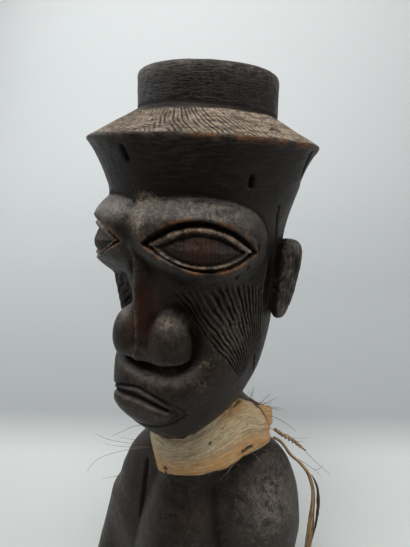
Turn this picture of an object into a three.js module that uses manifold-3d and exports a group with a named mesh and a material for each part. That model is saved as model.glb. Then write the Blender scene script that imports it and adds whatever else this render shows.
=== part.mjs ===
// Bust of a carved wooden figure: flared hat with a drum, mask-like face, hide collar with two laces.
// Millimetres, +Z up. The origin is on the flat underside, below the middle of the hat. The face looks
// along -Y and the figure's left side is +X. Head, hat and torso are one field of signed distances,
// sampled ring by ring; eyes, nose, mouth and ears are small solids cut into it or joined to it.
import * as THREE from 'three';
import { mergeVertices } from 'three/addons/utils/BufferGeometryUtils.js';
import Module from 'manifold-3d';

// Driving sizes.
const hatTop = 281.2;            // top of the drum, before the hat's tip is applied
const drumRadius = 30.8;
const drumFoot = 264;            // where the drum meets the sloping brim
const brimRadius = 50.1;
const brimEdge = 253.2;          // height of the brim's sharp edge
const hatTip = 0.0456;           // the hat tips back: rise for each mm towards the face
const neckLean = 0.17;           // the neck leans forward and to the figure's right as it rises
const torsoTurn = 24;            // degrees that the shoulders turn from the face
const hideSide = 28.5;           // reach of the collar from the middle of the neck: to the side,
const hideFront = 33;            // to the front
const hideBack = 27;             // and to the back
const hideThick = 1.4;
const hideGap = 0.8;             // free space between hide and wood
const hideLoose = 5;             // how far the strip stands off the neck behind the left shoulder
const longLaceWidth = 3.4;
const shortLaceWidth = 3.0;
const laceGap = 0.4;

// Small mathematics.
const degree = Math.PI / 180;
const clamp = (v, low, high) => Math.min(Math.max(v, low), high);
const square = (v) => v * v;

function blendMin(a, b, width) {
  const h = Math.max(width - Math.abs(a - b), 0) / width;
  return Math.min(a, b) - h * h * width * 0.25;
}

const blendMax = (a, b, width) => -blendMin(-a, -b, width);

function ramp(from, to, v) {
  const t = clamp((v - from) / (to - from), 0, 1);
  return t * t * (3 - 2 * t);
}

function bump(distance, halfWidth) {
  const t = Math.abs(distance) / halfWidth;
  return t >= 1 ? 0 : square(1 - t * t);
}

// Smooth curve through [height, value] stations, listed from the top down.
function follow(stations, z) {
  const last = stations.length - 1;
  if (z >= stations[0][0]) return stations[0][1];
  if (z <= stations[last][0]) return stations[last][1];
  let i = 0;
  while (z < stations[i + 1][0]) i++;
  const above = stations[Math.max(i - 1, 0)];
  const below = stations[Math.min(i + 2, last)];
  const [za, a] = stations[i];
  const [zb, b] = stations[i + 1];
  const step = za - zb;
  const slopeA = (above[1] - b) / (above[0] - zb);
  const slopeB = (a - below[1]) / (za - below[0]);
  const t = (za - z) / step;
  const t2 = t * t;
  const t3 = t2 * t;
  return (2 * t3 - 3 * t2 + 1) * a - (t3 - 2 * t2 + t) * step * slopeA
    + (3 * t2 - 2 * t3) * b - (t3 - t2) * step * slopeB;
}

function ellipsoid(x, y, z, rx, ry, rz) {
  const k0 = Math.hypot(x / rx, y / ry, z / rz);
  const k1 = Math.hypot(x / (rx * rx), y / (ry * ry), z / (rz * rz));
  return k0 < 1e-6 ? -Math.min(rx, ry, rz) : k0 * (k0 - 1) / k1;
}

function limb(x, y, z, from, to, radiusFrom, radiusTo) {
  const along = to.map((v, i) => v - from[i]);
  const p = [x - from[0], y - from[1], z - from[2]];
  const dot = p[0] * along[0] + p[1] * along[1] + p[2] * along[2];
  const t = clamp(dot / (square(along[0]) + square(along[1]) + square(along[2])), 0, 1);
  const off = Math.hypot(p[0] - t * along[0], p[1] - t * along[1], p[2] - t * along[2]);
  return off - (radiusFrom + (radiusTo - radiusFrom) * t);
}

// The head.
// Level sections of the head, each list from the forehead down to the chin.
const headSide = [[236, 42.5], [218, 37.5], [192, 35.3], [166, 33.5], [147, 30.5], [133, 25], [121, 11], [118, 4]];
const headFront = [[236, 43], [218, 42], [192, 40], [176, 39.5], [166, 41.5], [156, 46.5], [147, 49.5],
  [140, 48.5], [133, 45], [127, 40], [121, 34], [118, 29]];
const headBack = [[236, 42], [218, 37], [192, 34.5], [166, 30], [156, 26], [147, 21], [140, 14], [133, 3],
  [127, -13], [121, -20], [118, -24]];
const headMiddle = [[180, 0], [166, -0.6], [147, -5], [133, -17], [127, -26], [118, -27]];
const headSquareness = [[236, 2], [218, 2.6], [192, 3.2], [166, 2.7], [147, 2.3], [127, 2]];
const bandRadius = [[252.2, 50.2], [247, 47], [240, 44.2], [232, 41.6], [222, 38.6], [212, 37]];

function section(x, y, z) {
  const side = follow(headSide, z);
  const middle = follow(headMiddle, z);
  const yy = y - middle;
  const reach = Math.max(yy < 0 ? follow(headFront, z) + middle : follow(headBack, z) - middle, 1);
  const power = yy < 0 ? follow(headSquareness, z) : 2.1;
  const q = Math.pow(Math.pow(Math.abs(x) / side, power) + Math.pow(Math.abs(yy) / reach, power), 1 / power);
  return q < 1e-6 ? -Math.min(side, reach) : Math.hypot(x, yy) * (1 - 1 / q);
}

// The eye's own coordinates: u runs along it away from the nose, v up, both in millimetres.
const eyeBearing = 35;           // degrees from the face's middle to the middle of the left eye
const rightEyeBearing = 30.2;    // the figure's right eye sits nearer to the nose
const eyeHeight = 214.6;
const eyeScale = 0.75;           // millimetres of u for each degree
const eyeDrop = 0.045;           // the figure's right eye sits a little lower than the left
const eyeLean = 0.11;            // the outer corner is the lower one

// The mound round the eye rises to 7 mm and ends above at the brow line.
function mound(x, y, z) {
  const bearing = rightEyeBearing + (eyeBearing - rightEyeBearing) * ramp(-5, 5, x);
  const u = (Math.atan2(Math.abs(x), 2 - y) / degree - bearing) * eyeScale;
  const v = z + eyeDrop * (30 - x) - (eyeHeight - eyeLean * u);
  const inner = 33 + 7 * ramp(-2, 8, v);                  // below the brow it leaves the nose free
  const e = square((u - 1) / (u < 1 ? inner : 33)) + square(v / (v > 0 ? 19.5 : 17));
  if (e >= 1) return 0;
  const full = 7.4 * (1 - Math.pow(e, 1.6));
  const fading = 7.2 * square(1 - e) * (1 + 1.35 * e);
  return fading + (full - fading) * ramp(-12, 0, v);
}

// The face falls back beside the nose, most beside its wings.
const cheekHollow = (x, y, z) => (y > -10 ? 0
  : ramp(210, 186, z) * ramp(155, 166, z) * 6.2 * Math.exp(-square((Math.abs(x) - 17) / 7.5)));

function face(x, y, z) {
  const head = blendMax(blendMax(section(x, y, z) * 0.9, z - 238, 2), 117.5 - z, 2);
  return head + cheekHollow(x, y, z) - mound(x, y, z);
}

function hat(x, y, z0) {
  const z = z0 + hatTip * y;
  const r = Math.hypot(x, y + 1.4);
  const drumSide = Math.hypot(x, y - 1.5) - drumRadius + 0.02 * (z - drumFoot);
  const drum = Math.max(blendMax(drumSide, z - hatTop, 3), 250 - z);
  const slope = (r - brimRadius) * 0.503 + (z - brimEdge) * 0.864;
  const brim = Math.max(blendMax(slope, (r - follow(bandRadius, z)) * 0.85, 0.4), 214 - z);
  return blendMin(drum, brim, 0.8);
}

// Neck and torso.
// The neck is an oval that grows wider downwards and leans as it rises, so its middle moves.
const neckSize = (z) => follow([[150, 0.66], [138, 0.76], [128, 0.92], [104, 1]], z);

function neckMiddle(z) {
  const lean = neckLean * (clamp(z, 84, 140) - 104);
  return [3 - 0.788 * lean, 4 - 0.616 * lean];
}

function neck(x, y, z) {
  const [middleX, middleY] = neckMiddle(z);
  const slim = 2.2 * ramp(117, 129, z);    // above the collar it is narrower, on the left and behind
  const halfWidth = hideSide * neckSize(z) - 2 * hideGap - slim;
  const halfDepth = (y < middleY ? hideFront : hideBack) * neckSize(z) - 2 * hideGap - slim;
  const k = Math.hypot((x - middleX + 0.788 * slim) / halfWidth, (y - middleY + 0.616 * slim) / halfDepth);
  const side = (k - 1) * halfWidth + 0.6 * Math.max(0, 93 - z + 0.37 * (x - 3));
  return Math.max(side, z - 160, 80 - z);
}

function torso(x, y, z) {
  const c = Math.cos(torsoTurn * degree);
  const s = Math.sin(torsoTurn * degree);
  const xt = x * c + y * s;
  const yt = y * c - x * s;
  const left = blendMin(ellipsoid(xt - 33, yt, z - 56, 23.5, 24, 44),
    limb(xt, yt, z, [36, 2, 50], [37, 2, -20], 18.5, 17), 6);
  const right = blendMin(ellipsoid(xt + 35.5, yt - 4, z - 38, 17.5, 20, 44),
    limb(xt, yt, z, [-42, 4, 46], [-59, 2, -20], 14.5, 14.5), 6);
  const trunk = ellipsoid(xt, yt - 4, z - 20, 46, 32, 90);
  const yoke = ellipsoid(xt - 2, yt - 8, z - 72, 42, 24, 36);
  const chest = ellipsoid(xt + 2 + 0.065 * (110 - z), yt + 13, z, 28, 35, 104);
  let d = blendMin(blendMin(left, right, 4), trunk, 10);
  d = blendMin(blendMin(d, yoke, 14), chest, 4);
  return Math.max(d, -z);
}

function wood(x, y, z) {
  const throat = neck(x, y, z);
  const d = blendMin(blendMin(face(x, y, z), hat(x, y, z), 0.8), throat, 4);
  return blendMin(d, torso(x, y, z), throat < 20 ? 6 : 0.5);
}

// Meshes.
const wasm = await Module();
wasm.setup();

function toManifold(geometry) {
  return new wasm.Manifold(new wasm.Mesh({
    numProp: 3,
    vertProperties: new Float32Array(geometry.attributes.position.array),
    triVerts: new Uint32Array(geometry.index.array),
  }));
}

function fromManifold(manifold) {
  const mesh = manifold.getMesh();
  return solid(Array.from(mesh.vertProperties), Array.from(mesh.triVerts));
}

// Distance from a starting point out to the surface of the wood, in a level direction.
function reachOfWood(startX, startY, dx, dy, height, tip) {
  const at = (r) => wood(startX + dx * r, startY + dy * r, height - tip * (startY + dy * r));
  let r = 92;
  while (r > 0.5 && at(r) > 0.02) r -= clamp(at(r) * 0.6, 0.2, 4);
  let inside = r - 1;
  let outside = r + 1;
  for (let i = 0; i < 30; i++) {
    const middle = (inside + outside) / 2;
    if (at(middle) > 0) outside = middle; else inside = middle;
  }
  return inside;
}

function solid(positions, indices) {
  const geometry = new THREE.BufferGeometry();
  geometry.setAttribute('position', new THREE.Float32BufferAttribute(positions, 3));
  geometry.setIndex(indices);
  geometry.computeVertexNormals();
  return geometry;
}

// Joins closed rings of equal length, lowest first, into a solid with a fan at each end.
function skinRings(rings) {
  const n = rings[0].length;
  const points = rings.flat();
  const indices = [];
  const gap2 = (a, b) => square(points[a][0] - points[b][0]) + square(points[a][1] - points[b][1])
    + square(points[a][2] - points[b][2]);
  for (let k = 0; k + 1 < rings.length; k++) {
    for (let i = 0; i < n; i++) {
      const a = k * n + i;
      const b = k * n + (i + 1) % n;
      const c = b + n;
      const d = a + n;
      if (gap2(a, c) < gap2(b, d)) indices.push(a, b, c, a, c, d); else indices.push(a, b, d, b, c, d);
    }
  }
  const middleOf = (ring) => [0, 1, 2].map((i) => ring.reduce((sum, p) => sum + p[i], 0) / n);
  const foot = points.push(middleOf(rings[0])) - 1;
  const top = points.push(middleOf(rings[rings.length - 1])) - 1;
  const start = (rings.length - 1) * n;
  for (let i = 0; i < n; i++) {
    const next = (i + 1) % n;
    indices.push(foot, next, i, top, start + i, start + next);
  }
  return solid(points.flat(), indices);
}

// Evenly spaced steps from one value to another, the last one left out.
const steps = (from, to, count) => Array.from({ length: count }, (_, i) => from + (to - from) * i / count);

function figureBody() {
  const half = [...steps(0, 72, 12), 72, 80, 89, 99, 110, 122, 135, 149, 164];
  const bearings = [...half, 180, ...half.slice(1).reverse().map((b) => 360 - b)];
  const heights = [...steps(0, 80, 7), ...steps(80, 114, 7), 114, 117.6, 119.6, 122, 125,
    ...steps(128, 152, 7), ...steps(152, 168, 5), ...steps(168, 204, 6), ...steps(204, 228, 8),
    ...steps(228, 238, 6), 238, 243, 248, 251.8, 253.2, 263.8, 265.4, 278.4];
  const rings = heights.map((height) => bearings.map((b) => {
    const tip = hatTip * ramp(232, 250, height);
    const dx = Math.sin(b * degree);
    const dy = -Math.cos(b * degree);
    const r = reachOfWood(0, 0, dx, dy, height, tip);
    return [dx * r, dy * r, height - tip * dy * r];
  }));
  // The drum's rounded top edge, then its flat top.
  for (const [rise, inset] of [[1.9, 0.9], [2.8, 3]]) {
    rings.push(bearings.map((b) => {
      const r = drumRadius - 0.35 - inset;
      const x = Math.sin(b * degree) * r;
      const y = 1.5 - Math.cos(b * degree) * r;
      return [x, y, 278.4 + rise - hatTip * y];
    }));
  }
  return skinRings(rings);
}

// A closed row of points on the mound, shaped like the eye's almond; side is 1 left, -1 right.
function almondRing(side, scale, rise) {
  return steps(0, 2 * Math.PI, 24).map((a) => {
    const wave = Math.sin(a * side);
    const u = 0.6 + 20.6 * scale * Math.cos(a);
    const v = scale * (wave > 0 ? 11.5 : 7.7) * Math.sign(wave) * Math.pow(Math.abs(wave), wave > 0 ? 1.9 : 2.4);
    const bearing = side * ((side > 0 ? eyeBearing : rightEyeBearing) + u / eyeScale) * degree;
    const dx = Math.sin(bearing);
    const dy = -Math.cos(bearing);
    const z = eyeHeight - eyeLean * u + v - eyeDrop * (30 - side * 30);
    const r = reachOfWood(0, 2, dx, dy, z, 0) + rise;
    return [dx * r, 2 + dy * r, z];
  });
}

// Scale and rise of each ring, from the back of the piece to its front.
const eyeSocket = [[0.5, -4], [1, -4], [1, 6], [0.5, 6]];
const eyeFilling = [[0.4, -8], [1.05, -7], [1.05, -3.5], [0.93, -3.1], [0.87, -2.6], [0.8, -0.9], [0.72, -2.2],
  [0.45, -1.1], [0.2, -0.5]];
const eyeSolid = (side, table) => skinRings(table.map(([scale, rise]) => almondRing(side, scale, rise)));

function place(geometry, x, y, z) {
  geometry.deleteAttribute('normal');
  geometry.deleteAttribute('uv');
  return mergeVertices(geometry.translate(x, y, z), 1e-4);
}

const ball = (rx, ry, rz, x, y, z, around = 14, up = 10) =>
  place(new THREE.SphereGeometry(1, around, up).rotateX(Math.PI / 2).scale(rx, ry, rz), x, y, z);

// Thin straight ridge of the nose: a wedge whose sharp edge faces forward.
function noseRidge() {
  const level = (z, top) => [[-10, -32, z + top], [0, -44.9, z], [10, -32, z + top]];
  return skinRings([level(150, 0), level(213, 7)]);
}

// One lip: a bulging strip between two curves, let into the muzzle at its edges.
function lip(lowEdge, highEdge) {
  const rings = steps(-19.6, 19.61, 16).map((x) => {
    const low = lowEdge(x);
    const high = highEdge(x);
    const at = (share, rise) => {
      const z = low + (high - low) * share;
      const y = -reachOfWood(x, 0, 0, -1, z, 0);
      return [x, y - rise, z];
    };
    return [at(0, -1.4), at(0.5, -4), at(1, -1.4), at(0.85, 0.7), at(0.5, 1.3), at(0.15, 0.7)];
  });
  return skinRings(rings);
}

const mouthTop = (x) => 142.6 + 10.6 * Math.sqrt(1 - square(x / 21.8)) - 0.09 * Math.max(0, 4 - x);
const mouthGap = (x) => 149.3 - 6.3 * Math.pow(Math.abs(x) / 20.7, 3);
const upperLip = () => lip((x) => mouthGap(x) + 0.4, (x) => mouthTop(x) + 0.4);
const lowerLip = () => lip((x) => 134.6 + 8 * Math.pow(Math.abs(x) / 21.5, 3), (x) => mouthGap(x) - 0.4);

// The ear is an upright slab with rounded edges that leans outwards behind and tapers to its foot.
function earSlab(side) {
  const geometry = new THREE.SphereGeometry(1, 12, 10).rotateX(Math.PI / 2);
  const p = geometry.attributes.position;
  const round = (v, power) => Math.sign(v) * Math.pow(Math.abs(v), 2 / power);
  for (let i = 0; i < p.count; i++) {
    const up = 18.3 * round(p.getZ(i), p.getZ(i) > 0 ? 3.4 : 2.4);
    const taper = 1 - 0.34 * ramp(14, -18, up);
    const back = 5.6 * round(p.getY(i), 2.6) * taper;
    const out = 6.2 * round(p.getX(i), 2.4) * taper;
    const forward = 1.6 * ramp(0, -17, up) - 0.05 * up;
    p.setXYZ(i, side * 37.5 + 0.28 * side * back + out, 11.6 + back - forward, 195 + up);
  }
  return place(geometry, 0, 0, 0);
}

function carvedFigure() {
  let figure = toManifold(figureBody());
  for (const side of [1, -1]) {
    const drop = side > 0 ? 0 : 2.4;                 // the right wing of the nose hangs lower
    figure = figure.subtract(toManifold(eyeSolid(side, eyeSocket))).add(toManifold(eyeSolid(side, eyeFilling)));
    figure = figure.subtract(toManifold(ball(5.6, 3.5, 15.5, side * 37.5, 1.9, 194, 10, 8)));
    figure = figure.add(toManifold(earSlab(side)));
    const wing = toManifold(ball(10.1, 9.8, 14, side * 11.1, -35.6, 172.2 - drop));
    const under = toManifold(place(new THREE.BoxGeometry(40, 44, 20), side * 20, -40, 155.2 - drop));
    figure = figure.add(wing.subtract(under));
  }
  const floor = toManifold(place(new THREE.BoxGeometry(60, 40, 20), 0, -44, 154));
  const tip = toManifold(ball(10, 8, 9.8, 0, -35.6, 169.6)).add(toManifold(noseRidge())).subtract(floor);
  figure = figure.add(tip).add(toManifold(upperLip())).add(toManifold(lowerLip()));
  return fromManifold(figure);
}

// The collar.
// Heights of the strip's lower and upper edge, by the bearing from the face's middle. It is lowest
// under the chin, reaches up behind the left jaw and is narrow at the back.
const hideLow = [[-180, 103], [-150, 105], [-120, 107], [-65, 106], [-50, 103.5], [-40, 98], [-30, 92.5], [-20, 91.5],
  [0, 96.2], [20, 100.3], [40, 102.3], [60, 104], [75, 105.3], [90, 105.2], [105, 104.3], [120, 102.5], [150, 100.5],
  [180, 103]];
const hideHigh = [[-180, 116], [-150, 121], [-120, 125], [-90, 126], [-65, 124], [-50, 120], [-40, 117.5], [-20, 116.3],
  [0, 117], [15, 119.5], [30, 123.6], [45, 128], [60, 131.4], [72, 134], [82, 135.6], [91, 131.8], [110, 125],
  [120, 120.7], [130, 116.8], [140, 114], [150, 113], [180, 116]];
const byBearing = (stations, bearing) => {
  const turned = bearing > 180 ? bearing - 360 : bearing;
  const i = Math.max(stations.findIndex((station) => station[0] >= turned), 1);
  const [[from, a], [to, b]] = [stations[i - 1], stations[i]];
  return a + (b - a) * (turned - from) / (to - from);
};

// A point of the hide at one bearing from the front. Lift runs 0 to 1 from its lower to its
// upper edge; out is the distance from its inner face.
function hidePoint(degrees, lift, out) {
  const dx = Math.sin(degrees * degree);
  const dy = -Math.cos(degrees * degree);
  const z = byBearing(hideLow, degrees) * (1 - lift) + byBearing(hideHigh, degrees) * lift;
  const [middleX, middleY] = neckMiddle(z);
  const reach = neckSize(z) / Math.hypot(dx / hideSide, dy / (dy < 0 ? hideFront : hideBack));
  const loose = hideLoose * bump(degrees - 124, 52) * (0.4 + 0.6 * clamp(lift / 0.6, 0, 1));
  const r = reach + loose + out;
  let push = 0;
  while (wood(middleX + dx * (r + push), middleY + dy * (r + push), z) < hideGap + out * 0.2 && push < 8) push += 0.1;
  return [middleX + dx * (r + push), middleY + dy * (r + push), z];
}

function hideRing() {
  const count = 44;
  const outline = [[0, 0], [0.5, -0.15], [1, 0], [1, hideThick], [0.5, hideThick + 0.25], [0, hideThick]];
  const rings = steps(0, 360, count).map((b) => outline.map(([lift, out]) => hidePoint(b, lift, out)));
  const points = rings.flat();
  const m = outline.length;
  const indices = [];
  for (let k = 0; k < count; k++) {
    for (let i = 0; i < m; i++) {
      const a = k * m + i;
      const b = k * m + (i + 1) % m;
      const c = ((k + 1) % count) * m + (i + 1) % m;
      const d = ((k + 1) % count) * m + i;
      indices.push(a, b, c, a, c, d);
    }
  }
  return solid(points.flat(), indices);
}

// The free end of the strip lies over the ring on the left, and its end edge slants.
function hideEnd() {
  const rings = steps(0, 1.001, 7).map((t) => {
    const off = 0.5 + 1.9 * ramp(0, 0.6, t);
    const high = 1 - 0.24 * t * t;
    return [[0.02, off], [high, off], [high, off + hideThick], [0.02, off + hideThick]]
      .map(([lift, out]) => hidePoint(80 + (28 - 10.7 * lift) * t, lift, out));
  });
  return skinRings(rings);
}

// The laces.
function lace(points, width, thick, count) {
  const path = new THREE.CatmullRomCurve3(points.map((p) => new THREE.Vector3(...p)));
  const outline = steps(0, 2 * Math.PI, 8).map((a) => new THREE.Vector2(
    0.5 * thick * Math.cos(a), 0.5 * width * Math.sin(a)));
  return new THREE.ExtrudeGeometry(new THREE.Shape(outline), { steps: count, bevelEnabled: false, extrudePath: path });
}

// Along the line of sight the laces hang behind the left shoulder: side is measured across, back away.
const bySide = (side, back, z) => [0.788 * side - 0.616 * back, 0.616 * side + 0.788 * back, z];

// Raises a point of a lace until the lace lies clear of the wood.
function clearOfWood(point, width) {
  const [x, y, z] = point;
  let rise = 0;
  while (wood(x, y, z + rise) < 0.5 * width + laceGap && rise < 15) rise += 0.1;
  return [x, y, z + rise];
}

const longLaceLine = [bySide(40.1, -3, 101.2), bySide(44.5, -1, 93.4), bySide(50.9, 0, 87.8),
  bySide(56.6, 0, 82.2), bySide(61.4, 0, 75.9), bySide(64.3, 0, 68.8), bySide(66, 0, 60.8),
  bySide(66.6, 0, 40), bySide(66.2, 0, 20.8), bySide(65.5, 0, 8)]
  .map((point) => clearOfWood(point, longLaceWidth));
const shortLaceLine = [bySide(40, -4, 107.4), bySide(45, -2, 102.2), bySide(50, 1.5, 97),
  bySide(55, 4.5, 91.5), bySide(61.5, 8, 84)]
  .map((point) => clearOfWood(point, shortLaceWidth));

// The part.
const group = new THREE.Group();

function addPiece(name, geometry, color, roughness) {
  const mesh = new THREE.Mesh(geometry, new THREE.MeshStandardMaterial({ color, roughness, metalness: 0 }));
  mesh.name = name;
  group.add(mesh);
}

addPiece('carved_figure', carvedFigure(), 0x2e2824, 0.5);
addPiece('hide_collar', fromManifold(toManifold(hideRing()).add(toManifold(hideEnd()))), 0xb39a6e, 0.75);
addPiece('long_lace', lace(longLaceLine, longLaceWidth, longLaceWidth, 28), 0x8a6a45, 0.8);
addPiece('short_lace', lace(shortLaceLine, shortLaceWidth, shortLaceWidth, 9), 0x8a6a45, 0.8);

export default group;
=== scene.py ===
# %% [markdown]
# # A carved wooden figure, from its hat to its shoulders
# The real object is a dark African wood carving: a flared hat with a drum on top, a mask-like face
# with almond eyes and a turned-down mouth, and rounded shoulders. A strip of rawhide is wrapped
# round the neck, with two dry laces and a few animal hairs. The lesson rebuilds it in small steps.
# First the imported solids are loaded: they fix every size, and this file only adds looks to them.

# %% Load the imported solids
import math

import bpy
import numpy as np
from mathutils import Matrix, Vector


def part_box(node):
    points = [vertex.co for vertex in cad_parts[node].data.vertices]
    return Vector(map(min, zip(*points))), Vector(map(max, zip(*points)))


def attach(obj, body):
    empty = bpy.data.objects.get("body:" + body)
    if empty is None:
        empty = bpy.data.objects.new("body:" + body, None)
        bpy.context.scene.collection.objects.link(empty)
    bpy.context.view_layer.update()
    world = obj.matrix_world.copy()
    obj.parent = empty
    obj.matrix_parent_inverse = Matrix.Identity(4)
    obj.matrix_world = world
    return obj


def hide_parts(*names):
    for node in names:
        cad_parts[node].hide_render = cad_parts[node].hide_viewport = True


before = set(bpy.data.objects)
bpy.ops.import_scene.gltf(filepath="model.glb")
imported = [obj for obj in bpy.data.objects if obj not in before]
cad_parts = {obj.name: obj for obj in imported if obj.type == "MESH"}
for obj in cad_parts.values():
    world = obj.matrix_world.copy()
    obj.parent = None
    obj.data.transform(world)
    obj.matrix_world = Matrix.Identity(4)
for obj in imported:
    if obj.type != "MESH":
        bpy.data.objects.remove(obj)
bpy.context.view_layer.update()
MM = 0.001

# %% [markdown]
# ## The camera
# The photograph was taken from a little above, from the figure's left front, close by. A close
# camera makes near parts look larger, so its distance matters as much as its direction. The numbers
# were found by fitting the solids' outline to the photograph. The matrix is built from three
# directions, because that leaves no doubt about which way each angle turns.

# %% The camera
camera_bearing = math.radians(38)      # from the face's own direction towards the figure's left
camera_pitch = math.radians(15.9)
camera_roll = math.radians(1.0)
camera_distance = 189                  # level distance from the figure's upright axis, in mm
camera_height = 246.7
camera_aside = 0.9
focal_pixels = 400
image_height = 547                     # the longer side of the 410 x 547 picture

across = Vector((math.cos(camera_bearing), math.sin(camera_bearing), 0))
away = Vector((-math.sin(camera_bearing), math.cos(camera_bearing), 0))
upright = Vector((0, 0, 1))
looking = away * math.cos(camera_pitch) - upright * math.sin(camera_pitch)
tilted_up = away * math.sin(camera_pitch) + upright * math.cos(camera_pitch)
picture_right = across * math.cos(camera_roll) + tilted_up * math.sin(camera_roll)
picture_up = tilted_up * math.cos(camera_roll) - across * math.sin(camera_roll)
camera_place = (across * camera_aside - away * camera_distance + upright * camera_height) * MM

lens_data = bpy.data.cameras.new("photo_camera")
lens_data.sensor_width = 36
lens_data.lens = focal_pixels * lens_data.sensor_width / image_height
camera = bpy.data.objects.new("photo_camera", lens_data)
facing = Matrix((picture_right, picture_up, -looking)).transposed().to_4x4()
camera.matrix_world = Matrix.Translation(camera_place) @ facing
bpy.context.scene.collection.objects.link(camera)
bpy.context.scene.camera = camera


def aim_at(x, y):
    """Direction from the camera to a place of the picture, in pixels from its top left."""
    return looking + picture_right * ((x - 205) / focal_pixels) + picture_up * ((273.5 - y) / focal_pixels)


print("lens", round(lens_data.lens, 2), "mm at", [round(v, 4) for v in camera_place])

# %% [markdown]
# ## Making a mesh
# Every piece below ends as a list of points in millimetres and a list of faces. One helper turns
# them into a smooth-shaded Blender object. Primitives and modifiers would be quicker to start with,
# but worn, twisted and hand-cut things need each point where the hand left it.

# %% A helper for meshes
def new_piece(name, points, faces):
    """A smooth-shaded object from points in millimetres and faces."""
    if isinstance(faces, np.ndarray):
        faces = faces.tolist()
    mesh = bpy.data.meshes.new(name)
    mesh.from_pydata((np.asarray(points) * MM).tolist(), [], faces)
    mesh.update()
    mesh.shade_smooth()
    piece = bpy.data.objects.new(name, mesh)
    bpy.context.scene.collection.objects.link(piece)
    return piece


print("one unit of a piece's points is", MM, "m")

# %% [markdown]
# ## Noise with a fixed seed
# Hand work is never even. A small block of random numbers, read smoothly between its corners,
# gives the same unevenness in every run, which a random call inside a loop would not.

# %% Smooth noise in space
noise_block = np.random.default_rng(7).uniform(-1, 1, (32, 32, 32))


def unevenness(points, size):
    """Smooth noise between -1 and 1 whose lumps are about size millimetres wide."""
    p = np.asarray(points) / size
    low = np.floor(p).astype(int)
    t = p - low
    t = t * t * (3 - 2 * t)
    total = 0
    for corner in range(8):
        step = np.array([(corner >> k) & 1 for k in range(3)])
        weight = np.prod(np.where(step, t, 1 - t), axis=-1)
        i, j, k = np.moveaxis((low + step) % 32, -1, 0)
        total = total + weight * noise_block[i, j, k]
    return total


print("noise block", noise_block.shape)

# %% [markdown]
# ## The laces
# Two dry laces hang from the collar behind the figure's left shoulder. A free lace is a cord, and a
# cord has a route, a length and a thickness before it has a look, so the routes come first. They
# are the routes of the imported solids, given as a few points with a smooth curve through them. A
# Blender curve with a bevel would give an even round tube. These laces are flat, twisted and
# uneven, so their skin is laid round the route ring by ring instead.

# %% Routes of the laces
long_lace_stations = [(33.45, 22.34, 101.2), (35.68, 26.62, 97), (40.11, 31.35, 87.8), (44.6, 34.87, 82.2),
                      (48.38, 37.82, 75.9), (50.67, 39.61, 68.8), (52.01, 40.66, 60.8), (52.48, 41.03, 40),
                      (52.17, 40.78, 20.8), (51.61, 40.35, 8)]
short_lace_stations = [(33.98, 21.49, 107.4), (36.69, 26.14, 102.2), (38.48, 31.98, 97), (40.57, 37.43, 91.5),
                       (43.53, 44.19, 84)]


def between(t, start, end, value_start, value_end):
    return (end - t) / (end - start) * value_start + (t - start) / (end - start) * value_end


def route_through(stations, spacing=0.5):
    """Evenly spaced points of a smooth curve through the stations, and the length up to each."""
    p = np.array(stations, float)
    ends = np.vstack([2 * p[0] - p[1], p, 2 * p[-1] - p[-2]])
    knots = np.concatenate([[0], np.cumsum(np.sqrt(np.linalg.norm(np.diff(ends, axis=0), axis=1)))])
    dense = []
    for i in range(1, len(ends) - 2):
        t = np.linspace(knots[i], knots[i + 1], 40, endpoint=False)[:, None]
        k, q = knots[i - 1:i + 3], ends[i - 1:i + 3]
        a = [between(t, k[j], k[j + 1], q[j], q[j + 1]) for j in range(3)]
        b = [between(t, k[j], k[j + 2], a[j], a[j + 1]) for j in range(2)]
        dense.append(between(t, k[1], k[2], b[0], b[1]))
    dense = np.vstack(dense + [p[-1:]])
    run = np.concatenate([[0], np.cumsum(np.linalg.norm(np.diff(dense, axis=0), axis=1))])
    marks = np.linspace(0, run[-1], int(run[-1] / spacing) + 1)
    return np.stack([np.interp(marks, run, dense[:, k]) for k in range(3)], 1), marks


long_route, long_marks = route_through(long_lace_stations)
short_route, short_marks = route_through(short_lace_stations)
print("lace lengths in mm", round(long_marks[-1], 1), round(short_marks[-1], 1))

# %% [markdown]
# A ring of points goes round each point of the route. Half width and half thickness change along
# the lace: the long one is a thin cord at the collar and a flat strip of bark fibre lower down,
# and the short one is twisted, so its oval turns as it goes. The ends are closed with a fan.

# %% Skin of a lace
def lace_skin(route, marks, half_width, half_thick, turn, around=20, rough=0.12):
    """Points and faces of a lace: an uneven oval, turned by an angle, at each point of the route."""
    tangent = np.gradient(route, axis=0)
    tangent /= np.linalg.norm(tangent, axis=1)[:, None]
    wide = np.array(across) - tangent * (tangent @ np.array(across))[:, None]
    wide /= np.linalg.norm(wide, axis=1)[:, None]
    deep = np.cross(tangent, wide)
    c, s = np.cos(turn)[:, None], np.sin(turn)[:, None]
    wide, deep = wide * c + deep * s, deep * c - wide * s
    a = np.linspace(0, 2 * np.pi, around, endpoint=False)
    ring = wide[:, None] * (np.cos(a)[None, :, None] * half_width[:, None, None])
    ring = ring + deep[:, None] * (np.sin(a)[None, :, None] * half_thick[:, None, None])
    fibre = np.stack(np.broadcast_arrays(marks[:, None] / 9, np.cos(a) * 2.2, np.sin(a) * 2.2), -1)
    strands = rough * unevenness(fibre, 1)
    fine_strands = rough * unevenness(fibre * (2, 2.6, 2.6) + 5, 1)
    ring = ring * (1 + strands + fine_strands)[..., None]
    points = (route[:, None] + ring).reshape(-1, 3)
    n, m = len(route), around
    faces = [(k * m + i, k * m + (i + 1) % m, (k + 1) * m + (i + 1) % m, (k + 1) * m + i)
             for k in range(n - 1) for i in range(m)]
    points = np.vstack([points, route[:1], route[-1:]])
    faces += [(n * m, (i + 1) % m, i) for i in range(m)]
    faces += [(n * m + 1, (n - 1) * m + i, (n - 1) * m + (i + 1) % m) for i in range(m)]
    return points, faces


print("a lace of", len(long_route), "rings has", 20 * len(long_route) + 2, "points")

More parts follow.
